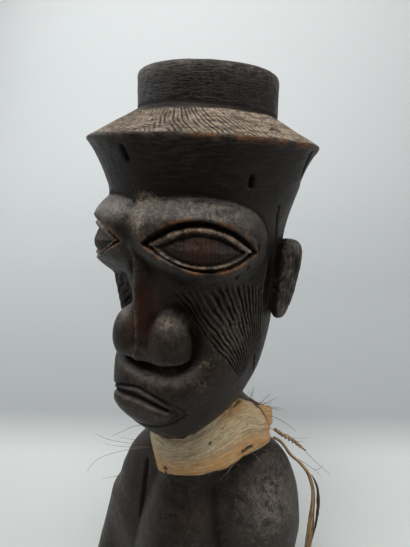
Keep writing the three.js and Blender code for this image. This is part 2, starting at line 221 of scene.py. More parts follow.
# %% The two laces
long_share = long_marks / long_marks[-1]
long_half_width = np.interp(long_share, [0, 0.2, 0.45, 0.62, 0.85, 1], [0.75, 0.85, 1.15, 1.75, 1.9, 1.2])
long_half_thick = np.interp(long_share, [0, 0.3, 0.6, 1], [0.7, 0.75, 0.8, 0.6])
long_turn = 0.35 * np.sin(long_share * 9)
hanging_lace = new_piece("hanging_lace", *lace_skin(long_route, long_marks, long_half_width, long_half_thick,
                                                    long_turn))

short_share = short_marks / short_marks[-1]
short_half_width = np.interp(short_share, [0, 0.35, 0.8, 1], [0.95, 1.2, 1.1, 0.5])
short_half_width = short_half_width * (1 + 0.14 * np.sin(short_marks * 1.7))
short_turn = short_marks * 0.75
twisted_lace = new_piece("twisted_lace", *lace_skin(short_route, short_marks, short_half_width,
                                                    short_half_width * 0.58, short_turn, rough=0.16))

for piece, node, name, route, marks in ((hanging_lace, "long_lace", "long", long_route, long_marks),
                                        (twisted_lace, "short_lace", "short", short_route, short_marks)):
    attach(piece, "root")
    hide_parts(node)
    print(piece.name, len(piece.data.vertices), "points")

# %% [markdown]
# A strip of dark bark peels away from the lower part of the long lace. It could be a ridge on the
# lace's own skin, but then no light would fall between the two. So it is a thin ribbon beside the
# lace, curled a little, and a piece of its own because its finish differs.

# %% Peeling bark
bark_share = np.linspace(0.34, 0.83, 90)
bark_route = np.stack([np.interp(bark_share, long_share, long_route[:, k]) for k in range(3)], 1)
bark_lift = np.interp(bark_share, [0.34, 0.42, 0.66, 0.83], [1.6, 2.6, 3.0, 1.7])
bark_route = bark_route + np.array(across) * bark_lift[:, None] - np.array(away) * 0.7
bark_marks = bark_share * long_marks[-1]
bark_half_width = np.interp(bark_share, [0.34, 0.4, 0.6, 0.78, 0.83], [0.25, 0.7, 1.0, 0.8, 0.2])
bark_turn = bark_marks * 0.06 + 0.3
peeling_bark = new_piece("peeling_bark", *lace_skin(bark_route, bark_marks, bark_half_width,
                                                    bark_half_width * 0.35, bark_turn, around=12, rough=0.3))
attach(peeling_bark, "root")
print("bark", len(peeling_bark.data.vertices), "points")

# %% [markdown]
# ## The wood as a field of distances
# The carving is one smooth block of wood whose forms melt into each other: the eye's mound into the
# brow, the nose into the cheek, the shoulders into the chest. Joined primitives would meet in hard
# seams, and sculpting by hand can't be repeated. So the shape is a function that gives, for
# any point, its distance to the surface, negative inside. Simple forms are added with a soft
# minimum and cut with a soft maximum, and the same named sizes as in the solids drive them.

# %% Soft steps and soft joins
def square(v):
    return v * v


def ramp(start, end, v):
    """0 at start and 1 at end, with a soft beginning and a soft end."""
    t = np.clip((v - start) / (end - start), 0, 1)
    return t * t * (3 - 2 * t)


def bump(distance, half_width):
    """1 in the middle, falling softly to 0 at half_width."""
    return square(1 - square(np.minimum(np.abs(distance) / half_width, 1)))


def blend_min(a, b, width):
    """The smaller of two distances, rounded where they are nearly equal: a soft join."""
    h = np.maximum(width - np.abs(a - b), 0) / width
    return np.minimum(a, b) - h * h * width * 0.25


def blend_max(a, b, width):
    """The larger of two distances, rounded in the same way: a soft cut."""
    return -blend_min(-a, -b, width)


print("two equal distances of 1 mm, joined over 2 mm, give", blend_min(1.0, 1.0, 2.0))


# %% Simple forms
def ellipsoid(x, y, z, rx, ry, rz):
    k0 = np.sqrt(square(x / rx) + square(y / ry) + square(z / rz)) + 1e-6
    k1 = np.sqrt(square(x / rx**2) + square(y / ry**2) + square(z / rz**2)) + 1e-9
    return k0 * (k0 - 1) / k1


def limb(x, y, z, start, end, radius_start, radius_end):
    ax, ay, az = (end[i] - start[i] for i in range(3))
    px, py, pz = x - start[0], y - start[1], z - start[2]
    t = np.clip((px * ax + py * ay + pz * az) / (ax * ax + ay * ay + az * az), 0, 1)
    off = np.sqrt(square(px - t * ax) + square(py - t * ay) + square(pz - t * az))
    return off - (radius_start + (radius_end - radius_start) * t)


def smooth_curve(*stations):
    """A function of the height whose smooth curve runs through (height, value) stations."""
    z, v = np.array(sorted(stations), float).T
    k = np.arange(len(z))
    low, high = np.maximum(k - 1, 0), np.minimum(k + 1, len(z) - 1)
    slope = (v[high] - v[low]) / (z[high] - z[low])
    table_z = np.arange(z[0], z[-1] + 0.1, 0.1)
    h = np.clip(table_z, z[0], z[-1])
    i = np.clip(np.searchsorted(z, h, side="right") - 1, 0, len(z) - 2)
    step = z[i + 1] - z[i]
    t = (h - z[i]) / step
    table_v = (
        (1 + 2 * t) * square(1 - t) * v[i] + t * square(1 - t) * step * slope[i]
        + t * t * (3 - 2 * t) * v[i + 1] + t * t * (t - 1) * step * slope[i + 1]
    )
    return lambda height: np.interp(height, table_z, table_v)


print("a ball of 5 mm is", round(float(ellipsoid(8.0, 0.0, 0.0, 5, 5, 5)), 2), "mm from a place 8 mm off")

# %% [markdown]
# ### Head
# Level sections of the head are ovals, a little squarer in front. A stretched ball would be simpler,
# but this head narrows to the chin and its muzzle comes forward. So a few ovals, listed from the
# forehead down to the chin, describe the whole head, and a smooth curve runs through their sizes.

# %% Sections of the head
head_side = smooth_curve((236, 42.5), (218, 37.5), (192, 35.3), (166, 33.5), (147, 30.5), (133, 25),
                         (121, 11), (118, 4))
head_front = smooth_curve((236, 43), (218, 42), (192, 40), (176, 39.5), (166, 41.5), (156, 46.5),
                          (147, 49.5), (140, 48.5), (133, 45), (127, 40), (121, 34), (118, 29))
head_back = smooth_curve((236, 42), (218, 37), (192, 34.5), (166, 30), (156, 26), (147, 21), (140, 14),
                         (133, 3), (127, -13), (121, -20), (118, -24))
head_middle = smooth_curve((180, 0), (166, -0.6), (147, -5), (133, -17), (127, -26), (118, -27))
head_squareness = smooth_curve((236, 2), (218, 2.6), (192, 3.2), (166, 2.7), (147, 2.3), (127, 2))


def head(x, y, z):
    side, middle = head_side(z), head_middle(z)
    yy = y - middle
    front = yy < 0
    reach = np.maximum(np.where(front, head_front(z) + middle, head_back(z) - middle), 1)
    power = np.where(front, head_squareness(z), 2.1)
    q = ((np.abs(x) / side) ** power + (np.abs(yy) / reach) ** power) ** (1 / power) + 1e-6
    return np.hypot(x, yy) * (1 - 1 / q)


print("forehead, 40 mm in front of the axis: field", round(float(head(0.0, -40.0, 218.0)), 2), "mm")

# %% [markdown]
# ### Eyes and mouth
# Each eye is a mound that rises to 7 mm and ends above at the brow line. In it lies an almond hollow
# with a raised lid round a domed ball. Separate balls for eyes would look like glass eyes, and here
# everything is cut from one block. So each eye is a height added to the head's distance, written in
# the eye's own coordinates, u along the eye and v up. The mouth is made in the same way: a raised
# half moon near the chin, with a cut outline and a curved gap.

# %% Eyes
def almond(u, v, half_length, above, below, power_above, power_below):
    w = 1 - square(u / half_length)
    ww = np.maximum(w, 1e-6)
    power = np.where(v > 0, power_above, power_below)
    edge = np.where(v > 0, above, below) * ww**power
    slope = 2 * power * edge / ww * np.abs(u) / half_length**2
    inside = (np.abs(v) - edge) / np.sqrt(1 + np.minimum(square(slope), 4))
    outside = np.hypot(np.abs(u) - half_length, v) + 0.01
    return np.where(w <= 0, outside, inside)


def recess_outline(u, v):
    """Distance to the edge of the hollow round the eye."""
    return almond(u - 0.6, v / (1 + np.where(v < 0, 0.012, 0.0) * u), 20.6, 11.5, 7.7, 0.95, 1.3)


def lid_outline(u, v):
    """Distance to the edge of the eyeball, where the lids begin."""
    return almond(u - 0.9, v, 15.8, 7.0, 5.7, 1.2, 0.95)


right_eye_bearing, left_eye_further = 30.2, 4.8     # degrees from the nose, seen from above
mm_per_degree_at_eye = 0.75
eye_height, eye_lean = 214.6, 0.11


def eye_place(x, y, z):
    """The eye's own coordinates; the figure's right eye sits lower and nearer to the nose."""
    middle = right_eye_bearing + left_eye_further * ramp(-5, 5, x)
    u = (np.degrees(np.arctan2(np.abs(x), 2 - y)) - middle) * mm_per_degree_at_eye
    return u, z + 0.045 * (30 - x) - (eye_height - eye_lean * u)


def eye_relief(u, v):
    """Height of the eye's mound, hollow, lids and ball above the head."""
    inner = 33 + 7 * ramp(-2, 8, v)        # below the brow the mound leaves the nose free
    e = np.minimum(square((u - 1) / np.where(u < 1, inner, 33)) + square(v / np.where(v > 0, 19.5, 17)), 1)
    full, fading = 7.4 * (1 - e**1.6), 7.2 * square(1 - e) * (1 + 1.35 * e)
    height = fading + (full - fading) * ramp(-12, 0, v)
    outline = recess_outline(u, v)
    lid = lid_outline(u, v)
    carved = -3.9 * ramp(0.2, -1.0, outline) * (0.72 + 0.28 * ramp(-3, 4, v))
    carved = carved + np.where(v > 0, 2.3 * bump(lid - 1.1, 2.4), 1.9 * bump(lid, 1.25))
    carved = carved + 2.2 * np.sqrt(np.clip((-lid - 0.9) / 4.7, 0, 1)) * (1 - 0.25 * square(u / 17))
    return height + np.where(outline < 0.3, carved, 0)


print("the eyeball's middle stands out", round(float(eye_relief(0.0, 0.0)), 2), "mm")

# %% Mouth and face
mouth_half = 21.5


def mouth_top(x):
    return 142.6 + 10.6 * np.sqrt(np.maximum(0, 1 - square(x / 21.8))) - 0.16 * np.maximum(0, 4 - x)


def mouth_gap(x):
    return 149.3 - 6.3 * (np.abs(x) / 20.7) ** 3 - 0.11 * np.maximum(0, 4 - x)


def mouth_relief(x, z):
    inside = 0.85 * np.minimum(mouth_top(x) - z, z - 135 - 8 * (np.abs(x) / mouth_half) ** 3)
    height = 0.35 * ramp(-0.3, 1.0, inside) - 0.7 * bump(inside, 1.0)
    lower_lip = ramp(0, 5, inside) * ramp(0.3, -5, z - mouth_gap(x))
    height = height + 1.3 * lower_lip
    return height - 0.9 * bump(z - mouth_gap(x), 1.8) * ramp(mouth_half - 1, mouth_half - 6, np.abs(x))


def cheek_hollow(x, z):
    """The face falls back beside the nose, most beside its wings."""
    return ramp(210, 186, z) * ramp(155, 166, z) * 6.2 * np.exp(-square((np.abs(x) - 17) / 7.5))


def face(x, y, z):
    d = blend_max(blend_max(head(x, y, z) * 0.9, z - 238, 2), 117.5 - z, 2)
    d = d + np.where(y < -10, cheek_hollow(x, z), 0)
    d = d - eye_relief(*eye_place(x, y, z))
    d = d - np.where((z < 160) & (z > 126) & (y < 0), mouth_relief(x, z), 0)
    under_nose = ellipsoid(x - 1, y + 44, z - 164, 16, 4.8, 5.2)
    return blend_max(d, -under_nose, 4.5)


print("lower lip, 50 mm in front of the axis: field", round(float(face(0.0, -50.0, 145.0)), 2), "mm")

# %% [markdown]
# ### Nose and ears
# The nose is a thin straight ridge that ends in a rounded tip between two large round wings, cut
# off level below. Each ear is an upright slab behind a deep narrow hollow, flat on top and narrower
# at its foot. Planes and balls are enough for both, because the carver cut them as plainly.

# %% Nose
def nose(x, y, z0):
    ax = np.abs(x)
    z = z0 + 0.1 * (12 - x)
    ridge = (ax - 0.4) * 0.8 + (-y - 44.9) * 0.6 + 0.04 * np.maximum(0, 173 - z)
    ridge = np.maximum(np.maximum(ridge, z - 218 + ax * 0.8), np.maximum(164 - z, y + 30))
    wing = ellipsoid(ax - 11.1, y + 35.6, z - 172.2, 10.1, 9.8, 14)
    tip = ellipsoid(x, y + 34.8, z - 169.6, 10, 7.9, 9.6)
    base = ellipsoid(x, y + 35.2, z - 167.2, 19.5, 9.7, 5)
    joined = blend_min(blend_min(blend_min(ridge, wing, 1.5), tip, 3), base, 2.5)
    return blend_max(joined, 165.2 - z, 0.5)


print("nose, 45 mm in front of the axis: field", round(float(nose(0.0, -45.0, 190.0)), 2), "mm")

# %% Ears
ear_middle = 195                       # height of the middle of both ears


def ear(x, y, z):
    yy = y - (11.6 + (z - ear_middle) * 0.05 - 1.6 * ramp(ear_middle, 178, z))
    xx = np.abs(x) - 37.5 - 0.28 * yy
    up = np.abs(z - ear_middle) / 18.3
    taper = 1 - 0.34 * ramp(209, 177, z)
    q = ((np.abs(xx) / (6.2 * taper)) ** 2.5 + (np.abs(yy) / (5.6 * taper)) ** 3
         + up ** np.where(z > ear_middle, 6, 2.6)) ** (1 / 2.8)
    q = np.maximum(q, 0.05)
    return (1 - 1 / q) * np.sqrt(xx * xx + yy * yy + square(z - ear_middle)) * 0.8


def ear_hollow(x, y, z):
    return ellipsoid(np.abs(x) - 37.5, y - 1.9, z - 194, 5.6, 3.5, 15.5)


print("ear, 42 mm aside: field", round(float(ear(42.0, 12.0, 200.0)), 2), "mm")

# %% [markdown]
# ### Hat, neck and shoulders
# The hat is a drum on a sloping brim, and a band that flares up to the brim's sharp edge. It
# tips back a little. The neck swells under the hide, and the shoulders are turned from the face.
# Ovals and limbs, softly joined, give the shoulders their worn roundness.

# %% Hat
hat_top, drum_radius, drum_foot = 281.2, 30.8, 264
brim_radius, brim_edge, hat_tip = 50.1, 253.2, 0.0456
brim_forward, drum_back = 1.4, 1.5     # how far brim and drum sit off the head's middle
band_radius = smooth_curve((252.2, 50.2), (247, 47), (240, 44.2), (232, 41.6), (222, 38.6), (212, 37))


def hat(x, y, z0):
    z = z0 + hat_tip * y
    r = np.hypot(x, y + brim_forward)
    drum_side = np.hypot(x, y - drum_back) - drum_radius + 0.02 * (z - drum_foot)
    drum = np.maximum(blend_max(drum_side, z - hat_top, 3), 250 - z)
    slope = (r - brim_radius) * 0.503 + (z - brim_edge) * 0.864
    brim = np.maximum(blend_max(slope, (r - band_radius(z)) * 0.85, 0.4), 214 - z)
    return blend_min(drum, brim, 0.8)


print("the brim's edge lies at", brim_edge, "mm, the hat's top at", hat_top, "mm")

# %% Neck
neck_size = smooth_curve((150, 0.66), (138, 0.76), (128, 0.92), (104, 1.0))
hide_side, hide_front, hide_back = 28.5, 33, 27     # reach of the collar from the middle of the neck
hide_lift_off = 1.6


def neck_middle(z):
    lean = 0.17 * (np.clip(z, 84, 140) - 104)
    return 3 - 0.788 * lean, 4 - 0.616 * lean


def neck(x, y, z):
    middle_x, middle_y = neck_middle(z)
    size = neck_size(z)
    slim = 2.2 * ramp(117, 129, z)         # above the collar it is narrower, on the left and behind
    half_width = hide_side * size - hide_lift_off - slim
    half_depth = np.where(y < middle_y, hide_front, hide_back) * size - hide_lift_off - slim
    k = np.hypot((x - middle_x + 0.788 * slim) / half_width, (y - middle_y + 0.616 * slim) / half_depth)
    side = (k - 1) * half_width + 0.6 * np.maximum(0, 93 - z + 0.37 * (x - 3))
    return np.maximum(side, np.maximum(z - 160, 80 - z))


print("the neck's middle at the collar", np.round(neck_middle(110.0), 1).tolist())

# %% Torso and the whole block
torso_turn = math.radians(24)


def torso(x, y, z):
    c, s = math.cos(torso_turn), math.sin(torso_turn)
    xt, yt = x * c + y * s, y * c - x * s
    left = blend_min(ellipsoid(xt - 33, yt, z - 56, 23.5, 24, 44),
                     limb(xt, yt, z, (36, 2, 50), (37, 2, -20), 18.5, 17), 6)
    right = blend_min(ellipsoid(xt + 35.5, yt - 4, z - 38, 17.5, 20, 44),
                      limb(xt, yt, z, (-42, 4, 46), (-59, 2, -20), 14.5, 14.5), 6)
    trunk = ellipsoid(xt, yt - 4, z - 20, 46, 32, 90)
    yoke = ellipsoid(xt - 2, yt - 8, z - 72, 42, 24, 36)
    chest = ellipsoid(xt + 2 + 0.065 * (110 - z), yt + 13, z, 28, 35, 104)
    d = blend_min(blend_min(left, right, 4), trunk, 10)
    return blend_min(blend_min(d, yoke, 14), chest, 1.5)


def wood(x, y, z):
    """Distance to the surface of the wood, negative inside."""
    d = blend_min(face(x, y, z), hat(x, y, z), 0.8)
    d = blend_min(d, nose(x, y, z), 1.2 + 3.5 * ramp(172, 183, z) * ramp(4, 9, np.abs(x)))
    d = blend_max(d, -ear_hollow(x, y, z), 1)
    d = blend_min(d, ear(x, y, z), 1)
    throat = neck(x, y, z)
    d = blend_min(d, throat, 4)
    body = torso(x, y, z)
    d = np.where(throat < 20, blend_min(d, body, 6), blend_min(d, body, 0.5))
    return np.maximum(d, -z)


print("field at the nose tip", round(float(wood(0.0, -49.0, 170.0)), 2), "mm")

# %% [markdown]
# ## From field to mesh
# The surface lies where the distance is zero. A fine grid of values is needed, but only near the
# surface, so a coarse grid first finds the cells worth filling. Then one point is set in each cell
# that the surface crosses, at the mean of its edge crossings, and four neighbouring points make a
# face. Blender's own remesh would need a mesh to start from. One more step moves every point along
# the field's slope onto the surface, which keeps edges such as the lids and the brim crisp.

# %% Values near the surface
grid_step = 0.62
coarse = 3


def fill_grid(low, high):
    count = np.ceil((high - low) / (grid_step * coarse)).astype(int)
    middle = [low[k] + (np.arange(count[k]) * coarse + 1) * grid_step for k in range(3)]
    values = np.empty(count, np.float32)
    for i in range(count[0]):
        yy, zz = np.meshgrid(middle[1], middle[2], indexing="ij")
        values[i] = wood(np.full(yy.shape, middle[0][i]), yy, zz)
    near = np.argwhere(np.abs(values) < coarse * grid_step * 0.9 + 1.9)
    for k in range(3):
        values = values.repeat(coarse, axis=k)
    steps = np.stack(np.meshgrid(*[np.arange(coarse)] * 3, indexing="ij"), -1).reshape(-1, 3)
    for part in np.array_split(near, len(near) // 8000 + 1):
        nodes = (part[:, None] * coarse + steps[None]).reshape(-1, 3)
        values[tuple(nodes.T)] = wood(*(low + nodes * grid_step).T)
    return values, len(near) * coarse**3


wood_low, wood_high = (np.array(v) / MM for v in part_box("carved_figure"))
grid_low = wood_low - (3, 3, 1.3)
grid, filled = fill_grid(grid_low, wood_high + 3)
print("grid", grid.shape, "values worked out", filled)


# %% Points and faces of the surface
def net_surface(values, low, step):
    """One point in every cell that the surface crosses, and a face round every crossed grid edge."""
    inside = values < 0
    shape = np.array(values.shape) - 1
    corners = [np.array([(c >> k) & 1 for k in range(3)]) for c in range(8)]

    def shifted(array, corner):
        return array[tuple(slice(corner[k], corner[k] + shape[k]) for k in range(3))]

    filled_corners = sum(shifted(inside, c).astype(np.int8) for c in corners)
    active = (filled_corners > 0) & (filled_corners < 8)
    number = np.full(active.shape, -1, np.int32)
    number[active] = np.arange(active.sum())
    cells = np.argwhere(active)
    total, crossings = np.zeros((len(cells), 3)), np.zeros(len(cells))
    for a in range(8):
        for k in range(3):
            if a >> k & 1:
                continue
            b = a | 1 << k
            va, vb = values[tuple((cells + corners[a]).T)], values[tuple((cells + corners[b]).T)]
            crossed = (va < 0) != (vb < 0)
            share = (va / np.where(crossed, va - vb, 1))[crossed, None]
            total[crossed] += corners[a] + share * (corners[b] - corners[a])
            crossings[crossed] += 1
    points = low + (cells + total / crossings[:, None]) * step
    faces = []
    for k in range(3):
        u, v = (k + 1) % 3, (k + 2) % 3
        first, second = [slice(None)] * 3, [slice(None)] * 3
        first[k], second[k] = slice(0, -1), slice(1, None)
        edge = inside[tuple(first)] != inside[tuple(second)]
        nodes = np.argwhere(edge)
        in_u, in_v = ((nodes[:, k] > 0) & (nodes[:, k] < shape[k]) for k in (u, v))
        nodes = nodes[in_u & in_v]
        around = []
        for du, dv in ((1, 1), (0, 1), (0, 0), (1, 0)):
            cell = nodes.copy()
            cell[:, u] -= du
            cell[:, v] -= dv
            around.append(number[tuple(cell.T)])
        quads = np.stack(around, 1)
        outwards = inside[tuple(nodes.T)]
        faces.append(np.where(outwards[:, None], quads, quads[:, ::-1]))
    return points, np.vstack(faces)


points, faces = net_surface(grid, grid_low, grid_step)
del grid
print("net", len(points), "points", len(faces), "faces")


# %% Onto the surface itself
def slope_of(field, p, h=0.12):
    steps = np.eye(3) * h
    return np.stack([field(*(p + s).T) - field(*(p - s).T) for s in steps], 1) / (2 * h)


for _ in range(2):
    slope = slope_of(wood, points)
    length = np.maximum(np.linalg.norm(slope, axis=1), 0.3)
    move = wood(*points.T) / length
    points = points - slope / length[:, None] * np.clip(move, -0.35, 0.35)[:, None]
outward = slope / length[:, None]
print("mean distance left", round(float(np.abs(wood(*points.T)).mean()), 4), "mm")

# %% [markdown]
# ## Cuts in the wood
# The carver scored the brim, the cheeks and the ears with rows of short cuts, and age added cracks,
# chips and insect holes. They are real dents here, since they show at the edge of the shape and
# from every side. Each cut is a line on the surface, given by its bearing from the face's middle
# and its height. Points of the mesh near the line move inwards, deepest at its middle.

# %% Lines on the surface
def on_wood(bearing, height, start=70.0):
    """Point where the wood's surface lies at a bearing in degrees and a height."""
    bearing, height = np.broadcast_arrays(np.radians(bearing), np.asarray(height, float))
    dx, dy = np.sin(bearing), -np.cos(bearing)
    r = np.full(bearing.shape, start)
    for _ in range(60):
        r = r - np.clip(wood(dx * r, dy * r, height) * 0.7, -1, 6)
    return np.stack([dx * r, dy * r, height], -1)


cuts = []                              # each: points of the line, depth, half width, thinner ends


def cut(line, depth, half_width, taper=True):
    cuts.append((np.atleast_2d(line), depth, half_width, taper))


print("the brow stands", round(float(-on_wood(0, 225)[1]), 1), "mm in front of the axis")

# %% [markdown]
# The brim's rows fan outwards in two families that cross on the left and behind. Hundreds of single
# lines would be slow to press in. So each point of the mesh is told the number of its row instead,
# a whole number in the middle between two cuts, and the same number later draws the cut's line of
# painted shade.

# %% Cuts of the brim
brim_rows = 148                        # cuts round the whole brim
rows_start, rows_end = 32, 49.4        # from the drum's foot to the brim's edge
brim_rise = 0.582                      # how much the brim rises for each mm inwards


def rows_of_brim(p):
    """Two families of rows on the brim: number of the row, share outwards, and where each family lies."""
    bearing = np.degrees(np.arctan2(p[:, 0], -p[:, 1] - brim_forward))
    radius = np.hypot(p[:, 0], p[:, 1] + brim_forward)
    out = (radius - rows_start) / (rows_end - rows_start)
    wander = 0.9 * unevenness(p + 70, 12) + 0.9 * unevenness(p + 30, 4.2)
    leaning = (bearing + 24 * (out - 0.4) + wander) * brim_rows / 360
    upright_rows = (bearing - 11 * (out - 0.4) + wander * 0.8) * brim_rows / 360
    above_edge = p[:, 2] + hat_tip * p[:, 1] - brim_edge
    on_brim = ramp(31.6, 32.6, radius) * ramp(49.9, 49.2, radius) * ramp(-1.7, 0.3, above_edge)
    above_brim = above_edge - (brim_radius - radius) * brim_rise
    on_brim = on_brim * ramp(2.6, 1.6, above_brim) * ramp(179, 178, np.abs(bearing))
    first = on_brim * np.maximum(ramp(40, 22, bearing), ramp(140, 155, bearing))
    second = on_brim * np.maximum(ramp(4, 20, bearing), ramp(-145, -160, bearing))
    return leaning, upright_rows, out, first, second


brim_share = rows_of_brim(points)[3]
print("points in the rows of the brim", int((brim_share > 0.5).sum()))

# %% [markdown]
# The cheek's rows run down and back, at about 50 degrees beside the nose and almost upright near
# the ear. They are numbered like the brim's, because the sharp dark bottom of a cut is finer than
# the mesh itself. The temples carry single rows of dashes, and each dash is a line of its own.

# %% Cuts of the temples
hand = np.random.default_rng(21)       # the unevenness of the carver's hand


def dashed(start, end, depth, half_width, side, dash=(9, 22), gap=(0.3, 1.4)):
    """A row of dashes between two (bearing, height) places; side is 1 left, -1 right."""
    start, end = np.array(start, float), np.array(end, float)
    size = np.hypot((end[0] - start[0]) * 0.68, end[1] - start[1])
    at = hand.uniform(0, 2)
    while at < size - 2:
        stop = min(at + hand.uniform(*dash), size)
        t = np.linspace(at / size, stop / size, max(4, int(stop - at)))
        place = start + (end - start) * t[:, None] + hand.uniform(-0.35, 0.35, 2)
        cut(on_wood(place[:, 0] * side, place[:, 1]), depth * hand.uniform(0.7, 1.1), half_width)
        at = stop + hand.uniform(*gap)


for side in (1, -1):
    for k in range(11):
        start = np.array([63 + 2.3 * k, 209 - 0.9 * k])
        dashed(start, start + (5, -15), 0.5, 0.65, side, dash=(4, 9))
print("dashes on the temples", len(cuts))

# %% Rows of the cheeks
cheek_rows = 16


def rows_of_cheek(p):
    """Number of the cheek's row at each point, share along it, and where the rows lie."""
    bearing = np.degrees(np.arctan2(np.abs(p[:, 0]), -p[:, 1]))
    bearing = bearing + 0.8 * unevenness(p + 20, 9) + 0.7 * unevenness(p, 3)
    best, row, share = np.full(len(p), 1e9), np.zeros(len(p)), np.zeros(len(p))
    for s in np.linspace(-0.05, 1.05, 111):
        top, foot = 193 + 5.5 * math.sin(s * 2.9), 154 + 5 * s
        t = (top - p[:, 2]) / (top - foot)
        off = 20.5 + 65 * s + (46 - 39 * s) * t - bearing
        closer = np.abs(off) < np.abs(best)
        best[closer] = off[closer]
        row[closer] = (s - off / (65 - 39 * t))[closer]
        share[closer] = t[closer]
    lies = ramp(-0.02, 0.03, row) * ramp(1.03, 0.98, row) * ramp(-0.05, 0.04, share) * ramp(1.05, 0.9, share)
    lies = lies * (1 - 0.75 * ramp(0.5, 0.9, share) * ramp(0.3, 0.6, row))
    return row * cheek_rows, share, lies * (p[:, 1] < 12)


print("points in the rows of the cheeks", int((rows_of_cheek(points)[2] > 0.5).sum()))

# %% [markdown]
# The carver also grooved the ears upright, hatched the eyeballs and outlined the lips. A texture
# could fake these, but they are seen from close by, at a slant, where only a real dent holds. A
# place on an ear or a lip is found by going in from the side or the front until the wood is met.

# %% Cuts of the ears, eyes and mouth
def on_wood_along(origin, direction):
    """Point where a straight line from outside meets the wood."""
    p = np.array(origin, float)
    direction = np.array(direction, float)
    for _ in range(80):
        p = p + direction * np.clip(wood(*p.T) * 0.7, -1, 6)[..., None]
    return p


right_eye_lower = 2.4
for side in (1, -1):
    for k in range(6):
        height = np.linspace(180 + abs(k - 2.5), 210.5, 24)
        back = 7.2 + 1.8 * k + 0.05 * (height - 195) + 0.4 * np.sin(height * 0.35 + k)
        start = np.stack([np.full(24, side * 62.0), back, height], 1)
        cut(on_wood_along(start, (-side, 0, 0)), hand.uniform(0.6, 0.85), 0.75)
    for u in np.arange(-13, 13.5, 1.25):
        half = 5.6 * math.sqrt(max(0, 1 - (u / 16.5) ** 2))
        v = 0.7 + half * np.linspace(-1, 0.9, 8) + hand.uniform(-0.4, 0.4)
        eye_bearing = right_eye_bearing + (left_eye_further if side > 0 else 0)
        bearing = side * (eye_bearing + (u + hand.uniform(-0.3, 0.3)) / mm_per_degree_at_eye)
        height = eye_height - eye_lean * u + v - (0 if side > 0 else right_eye_lower)
        cut(on_wood(bearing, height), 0.28, 0.5)
    for reach, height_at, depth, half_width in (
            (19.4, lambda x: mouth_top(x * 1.07) - 2.2, 0.45, 0.7),
            (20.3, lambda x: mouth_top(x * 1.07) + 0.1, 0.9, 0.9),
            (20.3, lambda x: 135.1 + 8.6 * (np.abs(x) / 20.3) ** 3, 0.9, 0.9),
            (16.5, mouth_gap, 0.7, 1.7)):
        x = side * np.linspace(0.3, reach, 26)
        start = np.stack([x, np.full(26, -70.0), height_at(x)], 1)
        cut(on_wood_along(start, (0, 1, 0)), depth, half_width, taper=False)
print("cuts so far", len(cuts))

# %% [markdown]
# Age left its own marks, each at the place where the photograph shows it: two chips in the band, a
# crack by the brim and a long one above the ear, a slit in the brim, insect holes by the eye, and
# a split in the jaw. Chance would be quicker, but a crack starts where the grain or the form is
# weak. On the sides that the photograph doesn't show, only a few small marks are made.

# %% Cracks, chips and insect holes
def brim_point(bearing, radius):
    a = np.radians(bearing)
    x, y = np.sin(a) * radius, -np.cos(a) * radius - brim_forward
    z = brim_edge + (brim_radius - radius) * brim_rise - hat_tip * y
    return np.stack([x, y, z], -1)


cut(on_wood([1.0, 1.3], [250.4, 246.4]), 2.6, 1.5, taper=False)
cut(on_wood([60.6, 60.9], [241, 237.6]), 2.4, 1.3, taper=False)
cut(on_wood(np.linspace(97.6, 103, 8), np.linspace(249.6, 240.8, 8)), 2.8, 1.5)
cut(on_wood(np.linspace(85.2, 93.6, 12) + [0, 0.6, 0.2, -0.5, 0, 0.7, 0.3, -0.4, 0.2, 0.5, 0, 0],
            np.linspace(229.5, 213.6, 12)), 2.4, 0.8)
cut(brim_point(np.array([70.5, 73.5, 76.5]), np.array([43.6, 43.4, 43.9])), 2.4, 1.1)
cut(on_wood([60.4, 60.6], [207.9, 206.9]), 2.2, 1.1, taper=False)
cut(on_wood([55.1, 55.0], [204.0, 203.4]), 2.0, 1.2, taper=False)
cut(on_wood(np.linspace(64.8, 65.8, 5), np.linspace(216.6, 212.8, 5)), 1.6, 0.8)
cut(on_wood(np.linspace(85.4, 88.6, 6), np.linspace(161.5, 151.4, 6)), 1.6, 0.7)
cut(on_wood(np.linspace(-120, -116, 9), np.linspace(238, 218, 9)), 2.0, 0.8)
cut(on_wood(np.linspace(172, 176, 12), np.linspace(226, 186, 12)), 1.6, 0.7)
for bearing, height in ((152, 246), (-78, 243), (-150, 205), (-97, 170), (140, 60), (-160, 88), (118, 40)):
    cut(on_wood([bearing, bearing + 0.2], [height, height - 0.8]), 1.8, 0.9, taper=False)

# %% The gap beside the arm, and pits by the eye
arm_gap = ((147.5, 460), (146.3, 470), (144.8, 485), (142.8, 500), (140, 517), (137.3, 532), (134.5, 547))
lines_of_sight = np.array([aim_at(*place) for place in arm_gap])
cut(on_wood_along(np.tile(np.array(camera_place) / MM, (len(arm_gap), 1)), lines_of_sight), 2.2, 2.1)
for _ in range(26):
    bearing, height = hand.uniform(20, 44), hand.uniform(194, 204)
    cut(on_wood([bearing], [height]), hand.uniform(0.3, 0.8), hand.uniform(0.6, 1.2), taper=False)
print("all cuts", len(cuts))

# %% [markdown]
# Now every point of the mesh moves inwards by the deepest mark that reaches it, and a little in or
# out with the unevenness of the hand. Displacement in a material would not show at the outline.

